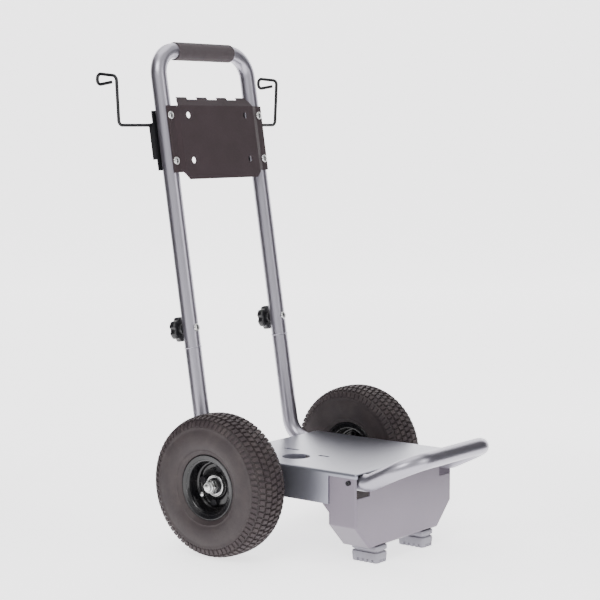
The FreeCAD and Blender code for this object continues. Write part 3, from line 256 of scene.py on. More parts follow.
    def _worn(self, tree: bpy.types.NodeTree, place: Socket) -> Socket:
        """Mask the outer edges, broken up by noise.

        Args:
            tree: the material's nodes.
            place: object coordinates in metres.

        Returns:
            One where the finish is worn, zero elsewhere.
        """
        soft = add_node(tree, "ShaderNodeBevel", {"samples": 4}, {"Radius": self.edge_mm * MM}).outputs[0]
        flat = add_node(tree, "ShaderNodeNewGeometry").outputs["Normal"]
        same = add_node(tree, "ShaderNodeVectorMath", {"operation": "DOT_PRODUCT"}, {
            0: soft, 1: flat}).outputs[1]
        bare = add_node(tree, "ShaderNodeMapRange", None, {0: same, 1: 0.995, 2: 0.9}).outputs[0]
        rub = add_node(tree, "ShaderNodeTexNoise", None, {
            "Vector": place, "Scale": per_metre(self.rub_mm), "Detail": 5.0}).outputs[0]
        broken = add_node(tree, "ShaderNodeMapRange", None, {
            0: rub, 1: 0.45, 2: 0.62, 3: 0.1, 4: 0.8}).outputs[0]
        return add_node(tree, "ShaderNodeMath", {"operation": "MULTIPLY"}, {0: bare, 1: broken}).outputs[0]


FINISHES = {finish.name: finish for finish in (
    # Powder coat with a silver metallic flake: smooth, with a soft highlight along each tube.
    Finish("silver_powder_coat", "#A19EA8", "#96939D", metallic=0.9, roughness=0.33, spread=0.03,
           blotch_mm=160.0, grain_mm=0.5, grain_bump_mm=0.002, peel_mm=5.0, peel_bump_mm=0.003, flake=0.06,
           round_mm=0.3, coat=0.25, coat_roughness=0.22),
    # Gloss metallic enamel on the deck: it mirrors the uprights in a slightly wavy film.
    Finish("gloss_enamel", "#8E8F99", "#83848F", metallic=0.85, roughness=0.31, spread=0.015,
           blotch_mm=140.0, blend=0.6, grain_mm=2.5, grain_bump_mm=0.0, peel_mm=9.0, peel_bump_mm=0.003,
           edge="#C2C1C9", edge_mm=0.6, coat=0.3, coat_roughness=0.29),
    # The same enamel sprayed thinner on the apron: duller, with light wear on its folded edges.
    Finish("satin_enamel", "#716A74", "#68626C", metallic=0.85, roughness=0.34, spread=0.04,
           blotch_mm=140.0, blend=0.6, grain_mm=0.6, grain_bump_mm=0.003, peel_mm=5.0, peel_bump_mm=0.005,
           flake=0.05, edge="#B8B4BC", edge_mm=0.6, coat=0.2, coat_roughness=0.15),
    # Bright zinc plate: fine turning lines and a faint yellow cast in patches.
    Finish("zinc_plate", "#C4C5C8", "#B3B1A6", metallic=1.0, roughness=0.26, blotch_mm=8.0, blend=0.6,
           grain_mm=0.4, grain_bump_mm=0.004, lines=Axis.Y, line_mm=0.3, line_bump_mm=0.004, round_mm=0.3),
    # Textured dark enamel: a tight wrinkle that keeps its sheen low.
    Finish("wrinkle_enamel", "#2C2225", "#34292D", roughness=0.55, spread=0.06, blotch_mm=50.0, blend=0.6,
           grain_mm=0.6, peel_mm=1.4, peel_bump_mm=0.03, edge="#5E5457", edge_mm=0.7, specular=0.25),
    # Dipped black paint on the wire and plates.
    Finish("black_enamel", "#121214", "#1A1A1D", roughness=0.42, spread=0.06, blotch_mm=30.0, blend=0.6,
           grain_mm=0.6, grain_bump_mm=0.01, peel_mm=2.0, peel_bump_mm=0.01, edge="#2E2E32", edge_mm=0.5,
           specular=0.35),
    # Blackened steel screws.
    Finish("black_oxide", "#1C1B1E", "#252428", metallic=0.6, roughness=0.42, blotch_mm=5.0, blend=0.6,
           grain_mm=0.4, grain_bump_mm=0.006, round_mm=0.3),
    # Glass-filled nylon: matt, with a fine moulded grain.
    Finish("moulded_nylon", "#19191B", "#222225", spread=0.07, blotch_mm=20.0, grain_mm=0.35,
           grain_bump_mm=0.03, round_mm=0.8, specular=0.4),
    # Smoother moulded plastic on the star knobs.
    Finish("polished_nylon", "#141416", "#1E1E21", roughness=0.34, spread=0.06, blotch_mm=14.0,
           grain_mm=0.3, grain_bump_mm=0.012),
    # Gloss black stove enamel on the pressed rims, with a little road dust.
    Finish("stove_enamel", "#0C0C0E", "#131316", roughness=0.2, spread=0.04, blotch_mm=40.0,
           grain_bump_mm=0.002, peel_mm=4.0, peel_bump_mm=0.006, coat=0.2, dust=0.03, round_mm=0.4,
           specular=0.35),
    # Moulded sidewall rubber: dull, slightly bloomed.
    Finish("sidewall_rubber", "#302829", "#2A2325", roughness=0.6, spread=0.07, blotch_mm=30.0, blend=0.8,
           grain_mm=0.5, grain_bump_mm=0.03, peel_mm=2.6, peel_bump_mm=0.02, dust=0.08, round_mm=0.6,
           specular=0.4),
    # The blocks: the same rubber, buffed drier by the ground.
    Finish("tread_rubber", "#2D2527", "#352C2F", roughness=0.72, blotch_mm=14.0, blend=0.8, grain_mm=0.4,
           grain_bump_mm=0.05, dust=0.12, specular=0.35),
    # Closed-cell foam: small open pores in a soft skin.
    Finish("nitrile_foam", "#3D3639", "#453E41", roughness=0.75, spread=0.05, blotch_mm=20.0, blend=0.6,
           grain_mm=0.5, grain_bump_mm=0.04, pores_mm=0.9, pore_bump_mm=0.08, round_mm=0.8, specular=0.3),
    # Light grey moulded rubber feet, scuffed along their edges.
    Finish("grey_rubber", "#8C8A93", "#7E7C86", spread=0.07, blotch_mm=25.0, blend=0.6, grain_mm=0.6,
           grain_bump_mm=0.04, dust=0.15, edge="#A8A6AE", round_mm=0.9, specular=0.4),
    # Lip seals and valve skirts.
    Finish("seal_rubber", "#232326", "#1B1B1E", spread=0.06, blotch_mm=6.0, grain_mm=0.3,
           grain_bump_mm=0.015, round_mm=0.3),
    # Weld metal under the paint: the same silver, ripples catching the light.
    Finish("painted_weld", "#85828A", "#75727B", metallic=0.85, roughness=0.36, blotch_mm=5.0, blend=0.8,
           grain_mm=0.5, grain_bump_mm=0.01, round_mm=0.4),
    # The nylon ring of a locking nut.
    Finish("nylon_insert", "#C9CCCB", "#BBBFC0", roughness=0.4, spread=0.05, blotch_mm=5.0, grain_mm=0.3,
           grain_bump_mm=0.01, round_mm=0.3),
)}
_built: dict[str, bpy.types.Material] = {}


def material(name: str) -> bpy.types.Material:
    """Fetch a finish's material, making it the first time.

    Args:
        name: the finish's name.

    Returns:
        The material.
    """
    if name not in _built:
        _built[name] = FINISHES[name].build()
    return _built[name]


# ------------------------------------------------------------------ mesh helpers

def axes(origin: Vector, outward: Vector, upward: Vector) -> Matrix:
    """A place whose local Z points outward and whose local Y is as near upward as it can be.

    Args:
        origin: where local zero lies, in the row frame.
        outward: direction of local Z.
        upward: direction that local Y leans to.

    Returns:
        The matrix from local to row frame.
    """
    z = outward.normalized()
    x = upward.cross(z).normalized()
    y = z.cross(x)
    matrix = Matrix((x, y, z)).transposed().to_4x4()
    matrix.translation = origin
    return matrix


class Shape:
    """A mesh under construction, in local millimetres."""

    def __init__(self) -> None:
        self.mesh = bmesh.new()
        self.tags: list[int] = []

    def add(self, points: Iterable[Sequence[float]], faces: Iterable[Sequence[int]], tag: int = 0) -> None:
        """Add vertices and the faces between them.

        Args:
            points: local places in millimetres.
            faces: indices into points.
            tag: material number of the faces.
        """
        made = [self.mesh.verts.new(point) for point in points]
        for face in faces:
            new = self.mesh.faces.new([made[i] for i in face])
            new.material_index = tag
            new.smooth = True

    def turn(self, profile: Profile, steps: int = 96, closed: bool = False, tag: int = 0,
             place: Matrix | None = None, radius: Callable[[float, float], float] | None = None) -> None:
        """Turn a profile of (radius, height) pairs round local Z.

        Args:
            profile: pairs from one end of the section to the other.
            steps: how many sides the turning has.
            closed: whether the last pair joins the first.
            tag: material number.
            place: where the turning goes, in local millimetres.
            radius: changes a radius by its angle, for shapes that aren't round.
        """
        points, faces = [], []
        for i in range(steps):
            angle = 2 * math.pi * i / steps
            for r, z in profile:
                reach = radius(r, angle) if radius else r
                point = Vector((reach * math.cos(angle), reach * math.sin(angle), z))
                points.append(place @ point if place else point)
        count = len(profile)
        for i in range(steps):
            ahead = (i + 1) % steps
            for j in range(count if closed else count - 1):
                k = (j + 1) % count
                faces.append((i * count + j, ahead * count + j, ahead * count + k, i * count + k))
        self.add(points, faces, tag)

    def finish(self, name: str, place: Matrix, finishes: Sequence[str], sharp: float = 40.0,
               weld: float = 0.001) -> bpy.types.Object:
        """Turn the shape into an object in metres, in the row frame.

        Args:
            name: the object's name.
            place: matrix from local millimetres, scaled, to the row frame.
            finishes: finish names, by material number.
            sharp: edges that turn by more than this many degrees stay sharp.
            weld: distance in millimetres within which points are joined.

        Returns:
            The new object.
        """
        bmesh.ops.remove_doubles(self.mesh, verts=self.mesh.verts, dist=weld)
        bmesh.ops.recalc_face_normals(self.mesh, faces=self.mesh.faces)
        limit = math.radians(sharp)
        for edge in self.mesh.edges:
            if len(edge.link_faces) == 2 and edge.calc_face_angle(0.0) > limit:
                edge.smooth = False
        data = bpy.data.meshes.new(name)
        self.mesh.to_mesh(data)
        self.mesh.free()
        data.transform(place @ Matrix.Scale(MM, 4))
        for finish in finishes:
            data.materials.append(material(finish))
        thing = bpy.data.objects.new(name, data)
        bpy.context.scene.collection.objects.link(thing)
        return thing


def settle(thing: bpy.types.Object, body: str, stands_for: Sequence[str] = ()) -> bpy.types.Object:
    """Tie a piece to its body and the CAD nodes it stands for.

    Args:
        thing: the piece.
        body: the body it moves with.
        stands_for: CAD nodes that it replaces.

    Returns:
        The same piece.
    """
    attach(thing, body)
    if stands_for:
        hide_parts(*stands_for)
    log.info("%s rides on %s%s", thing.name, body, f", for {', '.join(stands_for)}" if stands_for else "")
    return thing


def hex_radius(flats: float) -> Callable[[float, float], float]:
    """Radius of a hexagon at an angle, never less than the turned radius inside it.

    Args:
        flats: width across flats.

    Returns:
        A function of turned radius and angle.
    """
    def reach(r: float, angle: float) -> float:
        """Radius at this angle, held inside the flats."""
        part = (angle + math.pi / 6) % (math.pi / 3) - math.pi / 6
        return min(r, flats / 2 / math.cos(part))
    return reach


def middle(node: str) -> Vector:
    """Centre of a CAD node's box.

    Args:
        node: the node's name.

    Returns:
        The centre in metres.
    """
    low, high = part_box(node)
    return (low + high) / 2


JOINTS = {joint["name"]: joint for joint in frame["joints"]}
TUBE_UP = Vector(JOINTS["handle_lift"]["axis"]).normalized()
TUBE_BACK = Vector(JOINTS["left_knob_turn"]["axis"]).normalized()
SIDES = (("left", -1), ("right", 1))


# ------------------------------------------------------------------ wheels

@dataclass
class Tyre:
    """A pneumatic tyre with a smooth ringed sidewall and rows of staggered blocks."""

    crown: float = 131.4
    bead: float = 51.4
    block_height: float = 3.5
    blocks_round: int = 72
    fill: float = 0.7
    flank: float = 0.9
    root: float = 0.6
    lean: float = 0.0012
    shoulder: float = 34.0
    fade_run: float = 14.5
    rows: tuple[tuple[float, float, float], ...] = (
        (-6.5, 6.5, 0.0), (9.0, 21.0, 0.5), (23.5, 34.5, 0.0), (37.0, 48.5, 0.5))
    outline: tuple[tuple[float, float], ...] = (
        (0.0, 131.4), (10.0, 131.2), (20.0, 130.2), (28.0, 128.4), (33.5, 125.6), (37.4, 121.6),
        (40.0, 116.6), (40.9, 114.6), (42.0, 114.0), (42.4, 111.6), (42.0, 110.4), (43.0, 106.0),
        (43.9, 98.0), (44.0, 90.0), (43.2, 82.0), (41.2, 74.5), (40.0, 72.0), (40.2, 70.2),
        (39.2, 69.2), (37.6, 66.6), (35.4, 63.8), (34.2, 62.4), (32.9, 61.9), (32.0, 58.0), (31.0, 52.4),
        (29.0, 51.4))

    def _across(self, s: float) -> tuple[Vector, Vector]:
        """Find a place on the section.

        Args:
            s: distance along the section from its middle, in millimetres.

        Returns:
            The point, as radius and height, and its outward normal.
        """
        left = abs(s)
        for (z0, r0), (z1, r1) in zip(self.outline, self.outline[1:]):
            run = math.hypot(z1 - z0, r1 - r0)
            if left <= run:
                t = left / run
                flip = -1 if s < 0 else 1
                point = Vector((r0 + (r1 - r0) * t, (z0 + (z1 - z0) * t) * flip))
                return point, Vector((z1 - z0, (r0 - r1) * flip)).normalized()
            left -= run
        return Vector((self.bead, 0.0)), Vector((1.0, 0.0))

    def _block(self, shape: Shape, middle_turn: float, low: float, high: float) -> None:
        """Raise one block with sloped flanks, leaning a little round the tyre.

        Args:
            shape: the mesh to add to.
            middle_turn: angle of the block's middle.
            low: where it starts across the section, in millimetres.
            high: where it ends.
        """
        half = math.pi / self.blocks_round * self.fill
        levels = ((-self.root, 0.0), (self.block_height * 0.72, 0.25), (self.block_height, self.flank))
        points: list[Vector] = []
        for raise_by, inset in levels:
            for across, turn in ((low, -1), (low, 1), (high, 1), (high, -1)):
                inward = inset if across == low else -inset
                flat, normal = self._across(across + inward)
                lean = (across - (low + high) / 2) * self.lean * (1 if low >= 0 else -1)
                angle = middle_turn + lean + turn * (half - inset / self.crown)
                fade = 1.0 - 0.3 * max(0.0, (abs(across) - self.shoulder) / self.fade_run)
                reach = flat[0] + normal[0] * raise_by * fade
                points.append(Vector((reach * math.cos(angle), reach * math.sin(angle),
                                      flat[1] + normal[1] * raise_by * fade)))
        faces = [(8, 9, 10, 11)]
        for ring in (0, 4):
            faces += [(ring + i, ring + (i + 1) % 4, ring + 4 + (i + 1) % 4, ring + 4 + i) for i in range(4)]
        shape.add(points, faces, 1)

    def build(self, side: str, place: Matrix) -> bpy.types.Object:
        """Make the tyre.

        Args:
            side: left or right.
            place: matrix whose local Z is the axle, pointing outward.

        Returns:
            The tyre.
        """
        shape = Shape()
        half = [(r, z) for z, r in self.outline]
        section = half + [(r, -z) for r, z in reversed(half[1:])]
        shape.turn(section, 216, closed=True)
        pitch = 2 * math.pi / self.blocks_round
        for low, high, shift in self.rows:
            for flip in ((1,) if low < 0 else (1, -1)):
                ends = (low, high) if flip > 0 else (-high, -low)
                for i in range(self.blocks_round):
                    self._block(shape, (i + shift) * pitch, *ends)
        tyre = shape.finish(f"{side}_tyre_detail", place, ("sidewall_rubber", "tread_rubber"), 38.0, 0.0001)
        return settle(tyre, f"{side}_wheel", (f"{side}_tyre",))


@dataclass
class Rim:
    """A pressed split rim with a stepped, glossy dish."""

    front: tuple[tuple[float, float], ...] = (
        (20.8, 1.4), (20.8, 6.2), (21.4, 7.0), (22.6, 7.0), (23.4, 6.0), (24.4, 4.4), (26.0, 3.6),
        (29.0, 2.6), (39.0, 2.6), (40.4, 3.0), (41.4, 4.2), (42.2, 7.6), (43.0, 8.6), (44.6, 9.0),
        (45.6, 10.0), (46.0, 13.0), (46.6, 22.0), (47.2, 27.6), (48.2, 30.4), (50.2, 32.2), (53.0, 33.0),
        (57.0, 33.9), (59.6, 34.6), (61.0, 34.5), (61.9, 33.7), (61.8, 32.9), (60.4, 32.75), (52.0, 32.75),
        (50.9, 31.8), (50.9, 0.4), (20.8, 0.4))

    def build(self, side: str, place: Matrix) -> list[bpy.types.Object]:
        """Make both halves; the inner one is the outer one turned round.

        Args:
            side: left or right.
            place: matrix whose local Z is the axle, pointing outward.

        Returns:
            The two rim halves.
        """
        made = []
        for half, turned in (("outer", Matrix.Identity(4)), ("inner", Matrix.Rotation(math.pi, 4, "X"))):
            shape = Shape()
            shape.turn(self.front, 128, closed=True)
            rim = shape.finish(f"{side}_rim_{half}_detail", place @ turned, ("stove_enamel",), 60.0)
            made.append(settle(rim, f"{side}_wheel", (f"{side}_rim_{half}",)))
        return made


@dataclass
class Hub:
    """Hub tube, shielded bearings and the rim's bolts and valve."""

    radius: float = 20.5
    outer_end: float = 13.0
    inner_end: float = -46.4
    wall: float = 3.0
    shaft: float = 7.99
    bolt_radius: float = 34.0
    seat: float = 2.65
    washer: float = 1.2
    head_flats: float = 13.0
    valve_seat: float = 2.2
    cap_radius: float = 5.3
    bolt_turns: tuple[float, ...] = (79.0, 169.0, 259.0, 349.0)
    valve_turn: float = 124.0

    def tube(self, side: str, place: Matrix) -> bpy.types.Object:
        """Turn the hub tube, with rolled ends.

        Args:
            side: left or right.
            place: matrix whose local Z is the axle, pointing outward.

        Returns:
            The tube.
        """
        race = self.radius - self.wall
        z0, z1 = self.inner_end, self.outer_end
        shape = Shape()
        shape.turn(((race, z0), (self.radius - 1.0, z0), (self.radius, z0 + 0.9), (self.radius, z1 - 0.9),
                    (self.radius - 0.5, z1 - 0.2), (self.radius - 1.2, z1), (race + 0.5, z1),
                    (race, z1 - 0.5)), 96, closed=True)
        tube = shape.finish(f"{side}_hub_detail", place, ("zinc_plate",), 50.0)
        return settle(tube, f"{side}_wheel", (f"{side}_hub",))

    def bearings(self, side: str, place: Matrix) -> bpy.types.Object:
        """Fit two bearings with pressed races and dark rubber shields.

        Args:
            side: left or right.
            place: matrix whose local Z is the axle, pointing outward.

        Returns:
            The bearings as one piece.
        """
        race = self.radius - self.wall - 0.05
        shape = Shape()
        for end, way in ((self.outer_end - 0.6, 1), (self.inner_end + 0.6, -1)):
            def pair(profile: Profile) -> Profile:
                """Heights measured in from this end of the hub."""
                return [(r, end - way * depth) for r, depth in profile]
            shape.turn(pair(((race, 0.4), (race - 0.4, 0.0), (race - 2.4, 0.0), (race - 2.6, 0.5),
                             (race - 2.6, 11.0), (race, 11.0))), 72, closed=True)
            shape.turn(pair(((race - 2.6, 0.6), (race - 3.4, 0.5), (13.0, 0.9), (12.0, 0.6), (11.0, 0.9),
                             (11.0, 4.0), (race - 2.6, 4.0))), 72, closed=True, tag=1)
            shape.turn(pair(((11.0, 0.3), (10.6, 0.0), (self.shaft + 0.5, 0.0), (self.shaft, 0.4),
                             (self.shaft, 11.0), (11.0, 11.0))), 72, closed=True)
        return settle(shape.finish(f"{side}_bearings_detail", place, ("zinc_plate", "seal_rubber"), 40.0),
                      f"{side}_wheel", (f"{side}_bearings",))

    def bolts(self, side: str, place: Matrix) -> bpy.types.Object:
        """Fit hexagon bolts with washers round the disc.

        Args:
            side: left or right.
            place: matrix whose local Z is the axle, pointing outward.

        Returns:
            The bolts as one piece.
        """
        shape = Shape()
        for turn in self.bolt_turns:
            angle = math.radians(turn)
            spot = Matrix.Translation((self.bolt_radius * math.cos(angle),
                                       self.bolt_radius * math.sin(angle), self.seat))
            shape.turn(((0.01, 0.0), (7.2, 0.0), (7.2, 1.0), (6.9, self.washer), (0.01, self.washer)), 48,
                       place=spot)
            head = spot @ Matrix.Translation((0, 0, self.washer)) @ Matrix.Rotation(angle, 4, "Z")
            shape.turn(((9.0, 0.0), (9.0, 3.4), (7.0, 4.1), (6.2, 4.5), (5.4, 4.6), (4.9, 4.1),
                        (0.01, 4.0)), 48, place=head, radius=hex_radius(self.head_flats))
        bolts = shape.finish(f"{side}_rim_bolts_detail", place, ("black_oxide",), 30.0)
        return settle(bolts, f"{side}_wheel", (f"{side}_rim_bolts",))

    def valve(self, side: str, place: Matrix) -> bpy.types.Object:
        """Fit a rubber-based valve stem with a ribbed metal cap.

        Args:
            side: left or right.
            place: matrix whose local Z is the axle, pointing outward.

        Returns:
            The valve.
        """
        angle = math.radians(self.valve_turn)
        spot = Matrix.Translation((self.bolt_radius * math.cos(angle),
                                   self.bolt_radius * math.sin(angle), self.valve_seat))
        shape = Shape()
        shape.turn(((0.01, 0.0), (6.4, 0.0), (6.2, 1.0), (5.0, 2.6), (4.2, 5.0), (3.9, 6.0),
                    (0.01, 6.0)), 32, place=spot, tag=1)

        def ribbed(r: float, turn: float) -> float:
            """Fine grip ribs on the widest part of the cap."""
            return r + (0.25 * math.cos(turn * 18) if r > 5.0 else 0.0)

        shape.turn(((0.01, 6.0), (4.6, 6.0), (self.cap_radius, 6.5), (self.cap_radius, 15.0), (4.9, 16.2),
                    (3.8, 17.0), (0.01, 17.2)), 108, place=spot, radius=ribbed)
        valve = shape.finish(f"{side}_valve_detail", place, ("zinc_plate", "seal_rubber"), 45.0)
        return settle(valve, f"{side}_wheel", (f"{side}_valve",))


@dataclass
class AxleEnds:
    """Locking nuts, washers and the threaded ends of the axle."""

    shaft: float = 7.94
    flats: float = 23.8
    height: float = 15.0
    bore: float = 8.1
    washer_top: float = 2.8
    thread_pitch: float = 1.25

    def build(self, place: Matrix, side: str, stands_for: Sequence[str]) -> bpy.types.Object:
        """Make one end.

        Args:
            place: matrix whose origin is the hub's outer face and whose Z points outward.
            side: left or right.
            stands_for: nodes that this piece stands for.

        Returns:
            The nut with its washer and thread.
        """
        shape = Shape()
        shape.turn(((8.2, 0.3), (14.6, 0.3), (15.0, 0.7), (15.0, 2.3), (14.6, 2.7), (8.2, 2.7)), 72,
                   closed=True, tag=2)
        bore, top = self.bore, self.washer_top + self.height
        hexed = top - 4.2
        shape.turn(((bore, self.washer_top), (12.6, self.washer_top), (15.0, 3.6), (15.0, hexed - 1.0),
                    (12.4, hexed), (bore, hexed)), 72, closed=True, radius=hex_radius(self.flats))
        shape.turn(((bore, hexed), (11.2, hexed), (11.2, top - 1.4), (10.6, top - 0.4), (9.8, top),
                    (9.3, top), (9.2, top - 0.6), (bore, top - 0.6)), 72, closed=True)
        shape.turn(((bore, top - 0.7), (9.4, top - 0.7), (9.4, top - 0.3), (bore, top - 0.3)), 48,
                   closed=True, tag=1)
        turns = [(self.shaft - (0.75 if i % 2 else 0.05), top - 2.0 + i * self.thread_pitch / 2)
                 for i in range(9)]
        shape.turn(turns + [(self.shaft - 1.3, top + 3.6), (0.01, top + 3.9)], 64)
        finishes = ("zinc_plate", "nylon_insert", "black_oxide")
        end = shape.finish(f"{side}_axle_end_detail", place, finishes, 30.0)
        return settle(end, "chassis", stands_for)


class Wheels:
    """Both wheels and what holds them on."""

    def build(self) -> None:
        """Make every wheel piece."""
        for side, way in SIDES:
            centre = Vector(JOINTS[f"{side}_wheel_spin"]["pos_m"])
            place = Matrix.Translation(centre) @ Matrix.Rotation(math.radians(90 * way), 4, "Y")
            Tyre().build(side, place)
            Rim().build(side, place)
            hub = Hub()
            hub.tube(side, place)
            hub.bearings(side, place)
            hub.bolts(side, place)
            hub.valve(side, place)
            end = place @ Matrix.Translation((0, 0, hub.outer_end * MM))
            AxleEnds().build(end, side, ("axle_nuts", "axle_washers") if way < 0 else ())
            log.info("%s wheel centred at %s", side, tuple(round(c, 4) for c in centre))


# ------------------------------------------------------------------ handle

@dataclass
class StarKnob:
    """A six-lobed moulded clamp knob with an insert and a dished cap."""

    reach: float = 25.0
    scoop: float = 7.14
    scoop_ring: float = 28.0
    base: float = 5.0
    top: float = 20.0
    soften: float = 1.1
    dimple_ring: float = 15.6

    def _lobed(self, r: float, angle: float) -> float:
        """Shape the star, fading to round towards the middle.

        Args:
            r: the turned radius.
            angle: where round the knob.

        Returns:
            The radius of the star there.
        """
        part = (angle + math.pi / 6) % (math.pi / 3) - math.pi / 6
        side = self.scoop_ring * math.sin(part)
        edge = self.reach
        if abs(side) < self.scoop:
            near = self.scoop_ring * math.cos(part) - math.sqrt(self.scoop ** 2 - side ** 2)
            edge = min(edge, near)
        soft = self.reach - self.soften * math.log(1 + math.exp((self.reach - edge) / self.soften))
        share = max(0.0, min(1.0, (r / self.reach - 0.35) / 0.5))
        return r * (1 + (soft / self.reach - 1) * share)

    def build(self, side: str, place: Matrix) -> bpy.types.Object:
        """Make one knob.

        Args:
            side: left or right.
            place: matrix whose local Z points away from the tube.

        Returns:
            The knob.
        """
        shape = Shape()
        r = self.reach
        shape.turn(((0.01, self.base + 0.4), (r * 0.5, self.base + 0.4), (r * 0.86, self.base + 0.3),
                    (r * 0.95, self.base + 0.9), (r, self.base + 2.6), (r, self.top - 3.4),
                    (r * 0.965, self.top - 1.2), (r * 0.9, self.top - 0.2), (r * 0.82, self.top),
                    (r * 0.6, self.top - 0.3), (r * 0.46, self.top - 0.9), (r * 0.42, self.top - 1.5),
                    (r * 0.38, self.top - 0.9), (r * 0.3, self.top - 0.3), (0.01, self.top)), 144,
                   radius=self._lobed)
        shape.turn(((11.6, self.base + 1.0), (11.5, self.base), (10.8, 1.0), (10.4, 0.3), (9.8, 0.0),
                    (6.6, 0.0), (6.6, self.base + 1.0)), 64, closed=True)
        for i in range(6):
            angle = math.radians(30 + 60 * i)
            spot = Matrix.Rotation(angle, 4, "Z") @ Matrix.Translation((self.dimple_ring, 0, self.top - 0.1))
            shape.turn(((3.4, -1.4), (3.1, -0.2), (2.6, 0.1), (0.01, 0.2)), 20, place=spot)
        knob = shape.finish(f"{side}_knob_detail", place, ("polished_nylon",), 50.0)
        return settle(knob, f"{side}_knob", (f"{side}_knob",))


@dataclass
class CarriageHeads:
    """Domed heads of the tray's and the clamps' bolts, seated on small shoulders."""

    width: float = 16.0
    rise: float = 3.8
    shank: float = 3.95
    thread_depth: float = 0.45
    thread_pitch: float = 1.25
    thread_length: float = 16.0

    def build(self, name: str, spots: Sequence[Vector], stands_for: Sequence[str],
              grip: float) -> bpy.types.Object:
        """Make a set of bolts.

        Args:
            name: the piece's name.
            spots: where each head's underside is.
            stands_for: nodes that this piece stands for.
            grip: how far each shank runs back, in millimetres.

        Returns:
            The bolts as one piece.
        """
        half = self.width / 2
        dome = [(half * math.sin(a), -self.rise * math.cos(a)) for a in
                (0.02, 0.3, 0.6, 0.85, 1.1, 1.3, 1.45, math.pi / 2)]
        crest = self.shank - 0.05
        ridge = [(crest - (self.thread_depth if i % 2 else 0.0),
                  grip - self.thread_length + i * self.thread_pitch / 2) for i in range(25)]
        shape = Shape()
        for spot in spots:
            place = axes(spot, TUBE_BACK, TUBE_UP)
            local = Matrix.Scale(1 / MM, 4) @ place @ Matrix.Scale(MM, 4)
            neck = [(half - 0.3, 0.05), (self.shank, 0.05), (self.shank, grip - self.thread_length - 1)]
            shape.turn(dome + neck + ridge + [(0.01, grip)], 40, place=local)
        bolts = shape.finish(name, Matrix.Identity(4), ("zinc_plate",), 45.0)
        return settle(bolts, "handle", stands_for)


@dataclass
class Grip:
    """A foam sleeve with soft ends and faint rings along its length."""

    radius: float = 18.0
    bore: float = 15.95

    def build(self) -> bpy.types.Object:
        """Make the grip where the CAD sleeve is.

        Returns:
            The grip.
        """
        low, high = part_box("grip")
        half = (high.x - low.x) / 2 / MM
        ends = ((self.bore, -half), (self.radius - 1.0, -half), (self.radius - 0.3, -half + 0.4),
                (self.radius, -half + 1.4))
        rings = [(self.radius - 0.06 * (i % 2), -half + 3.0 + i * (2 * half - 6) / 40) for i in range(41)]
        profile = list(ends) + rings + [(r, -z) for r, z in reversed(ends)]
        shape = Shape()
        shape.turn(profile, 96, closed=True)
        place = axes(middle("grip"), Vector((1, 0, 0)), TUBE_UP)
        sleeve = shape.finish("grip_detail", place, ("nitrile_foam",), 60.0)
        return settle(sleeve, "handle", ("grip",))


@dataclass
class Handle:
    """Everything that is added to or replaced on the handle."""

    tube_radius: float = 15.875
    knob_reach: float = 25.0
    knob_gap: float = 0.3
    head_gap: float = 0.05
    clamp_grip: float = 46.0
    tray_grip: float = 45.0
    tray_sheet: float = 2.0

    def build(self) -> None:
        """Make the handle's detailed pieces."""
        Grip().build()
        clamp_spots: list[Vector] = []
        for side, _ in SIDES:
            joint = JOINTS[f"{side}_knob_turn"]
            pivot = Vector(joint["pos_m"])
            seat = pivot - TUBE_BACK * (self.knob_reach - self.tube_radius - self.knob_gap) * MM
            StarKnob().build(side, axes(seat, TUBE_BACK, TUBE_UP))
            clamp_spots.append(pivot - TUBE_BACK * (self.knob_reach + self.tube_radius + self.head_gap) * MM)
        heads = CarriageHeads()
        heads.build("clamp_bolts_detail", clamp_spots, ("clamp_bolts",), self.clamp_grip)
        heads.build("tray_bolts_detail", self._tray_spots(clamp_spots), ("tray_bolts",), self.tray_grip)

    def _tray_spots(self, clamp_spots: Sequence[Vector]) -> list[Vector]:
        """Find the seats of the tray's bolts.

        Args:
            clamp_spots: seats of the clamp bolts, left and right, on the tubes' front faces.

        Returns:
            Seats level with the tray's own holes, on the tray's ears.
        """
        mounts = {mount["name"]: Vector(mount["pos_m"]) for mount in frame["record"]["mounts"]}
        spots = []
        for clamp, side in zip(clamp_spots, ("left", "right")):
            for row in ("lower", "upper"):
                hole = mounts[f"tray_{row}_{side}_hole"]
                rise = (hole - clamp).dot(TUBE_UP)
                spots.append(clamp + TUBE_UP * rise - TUBE_BACK * (self.tray_sheet + self.head_gap) * MM)
        return spots


# ------------------------------------------------------------------ chassis

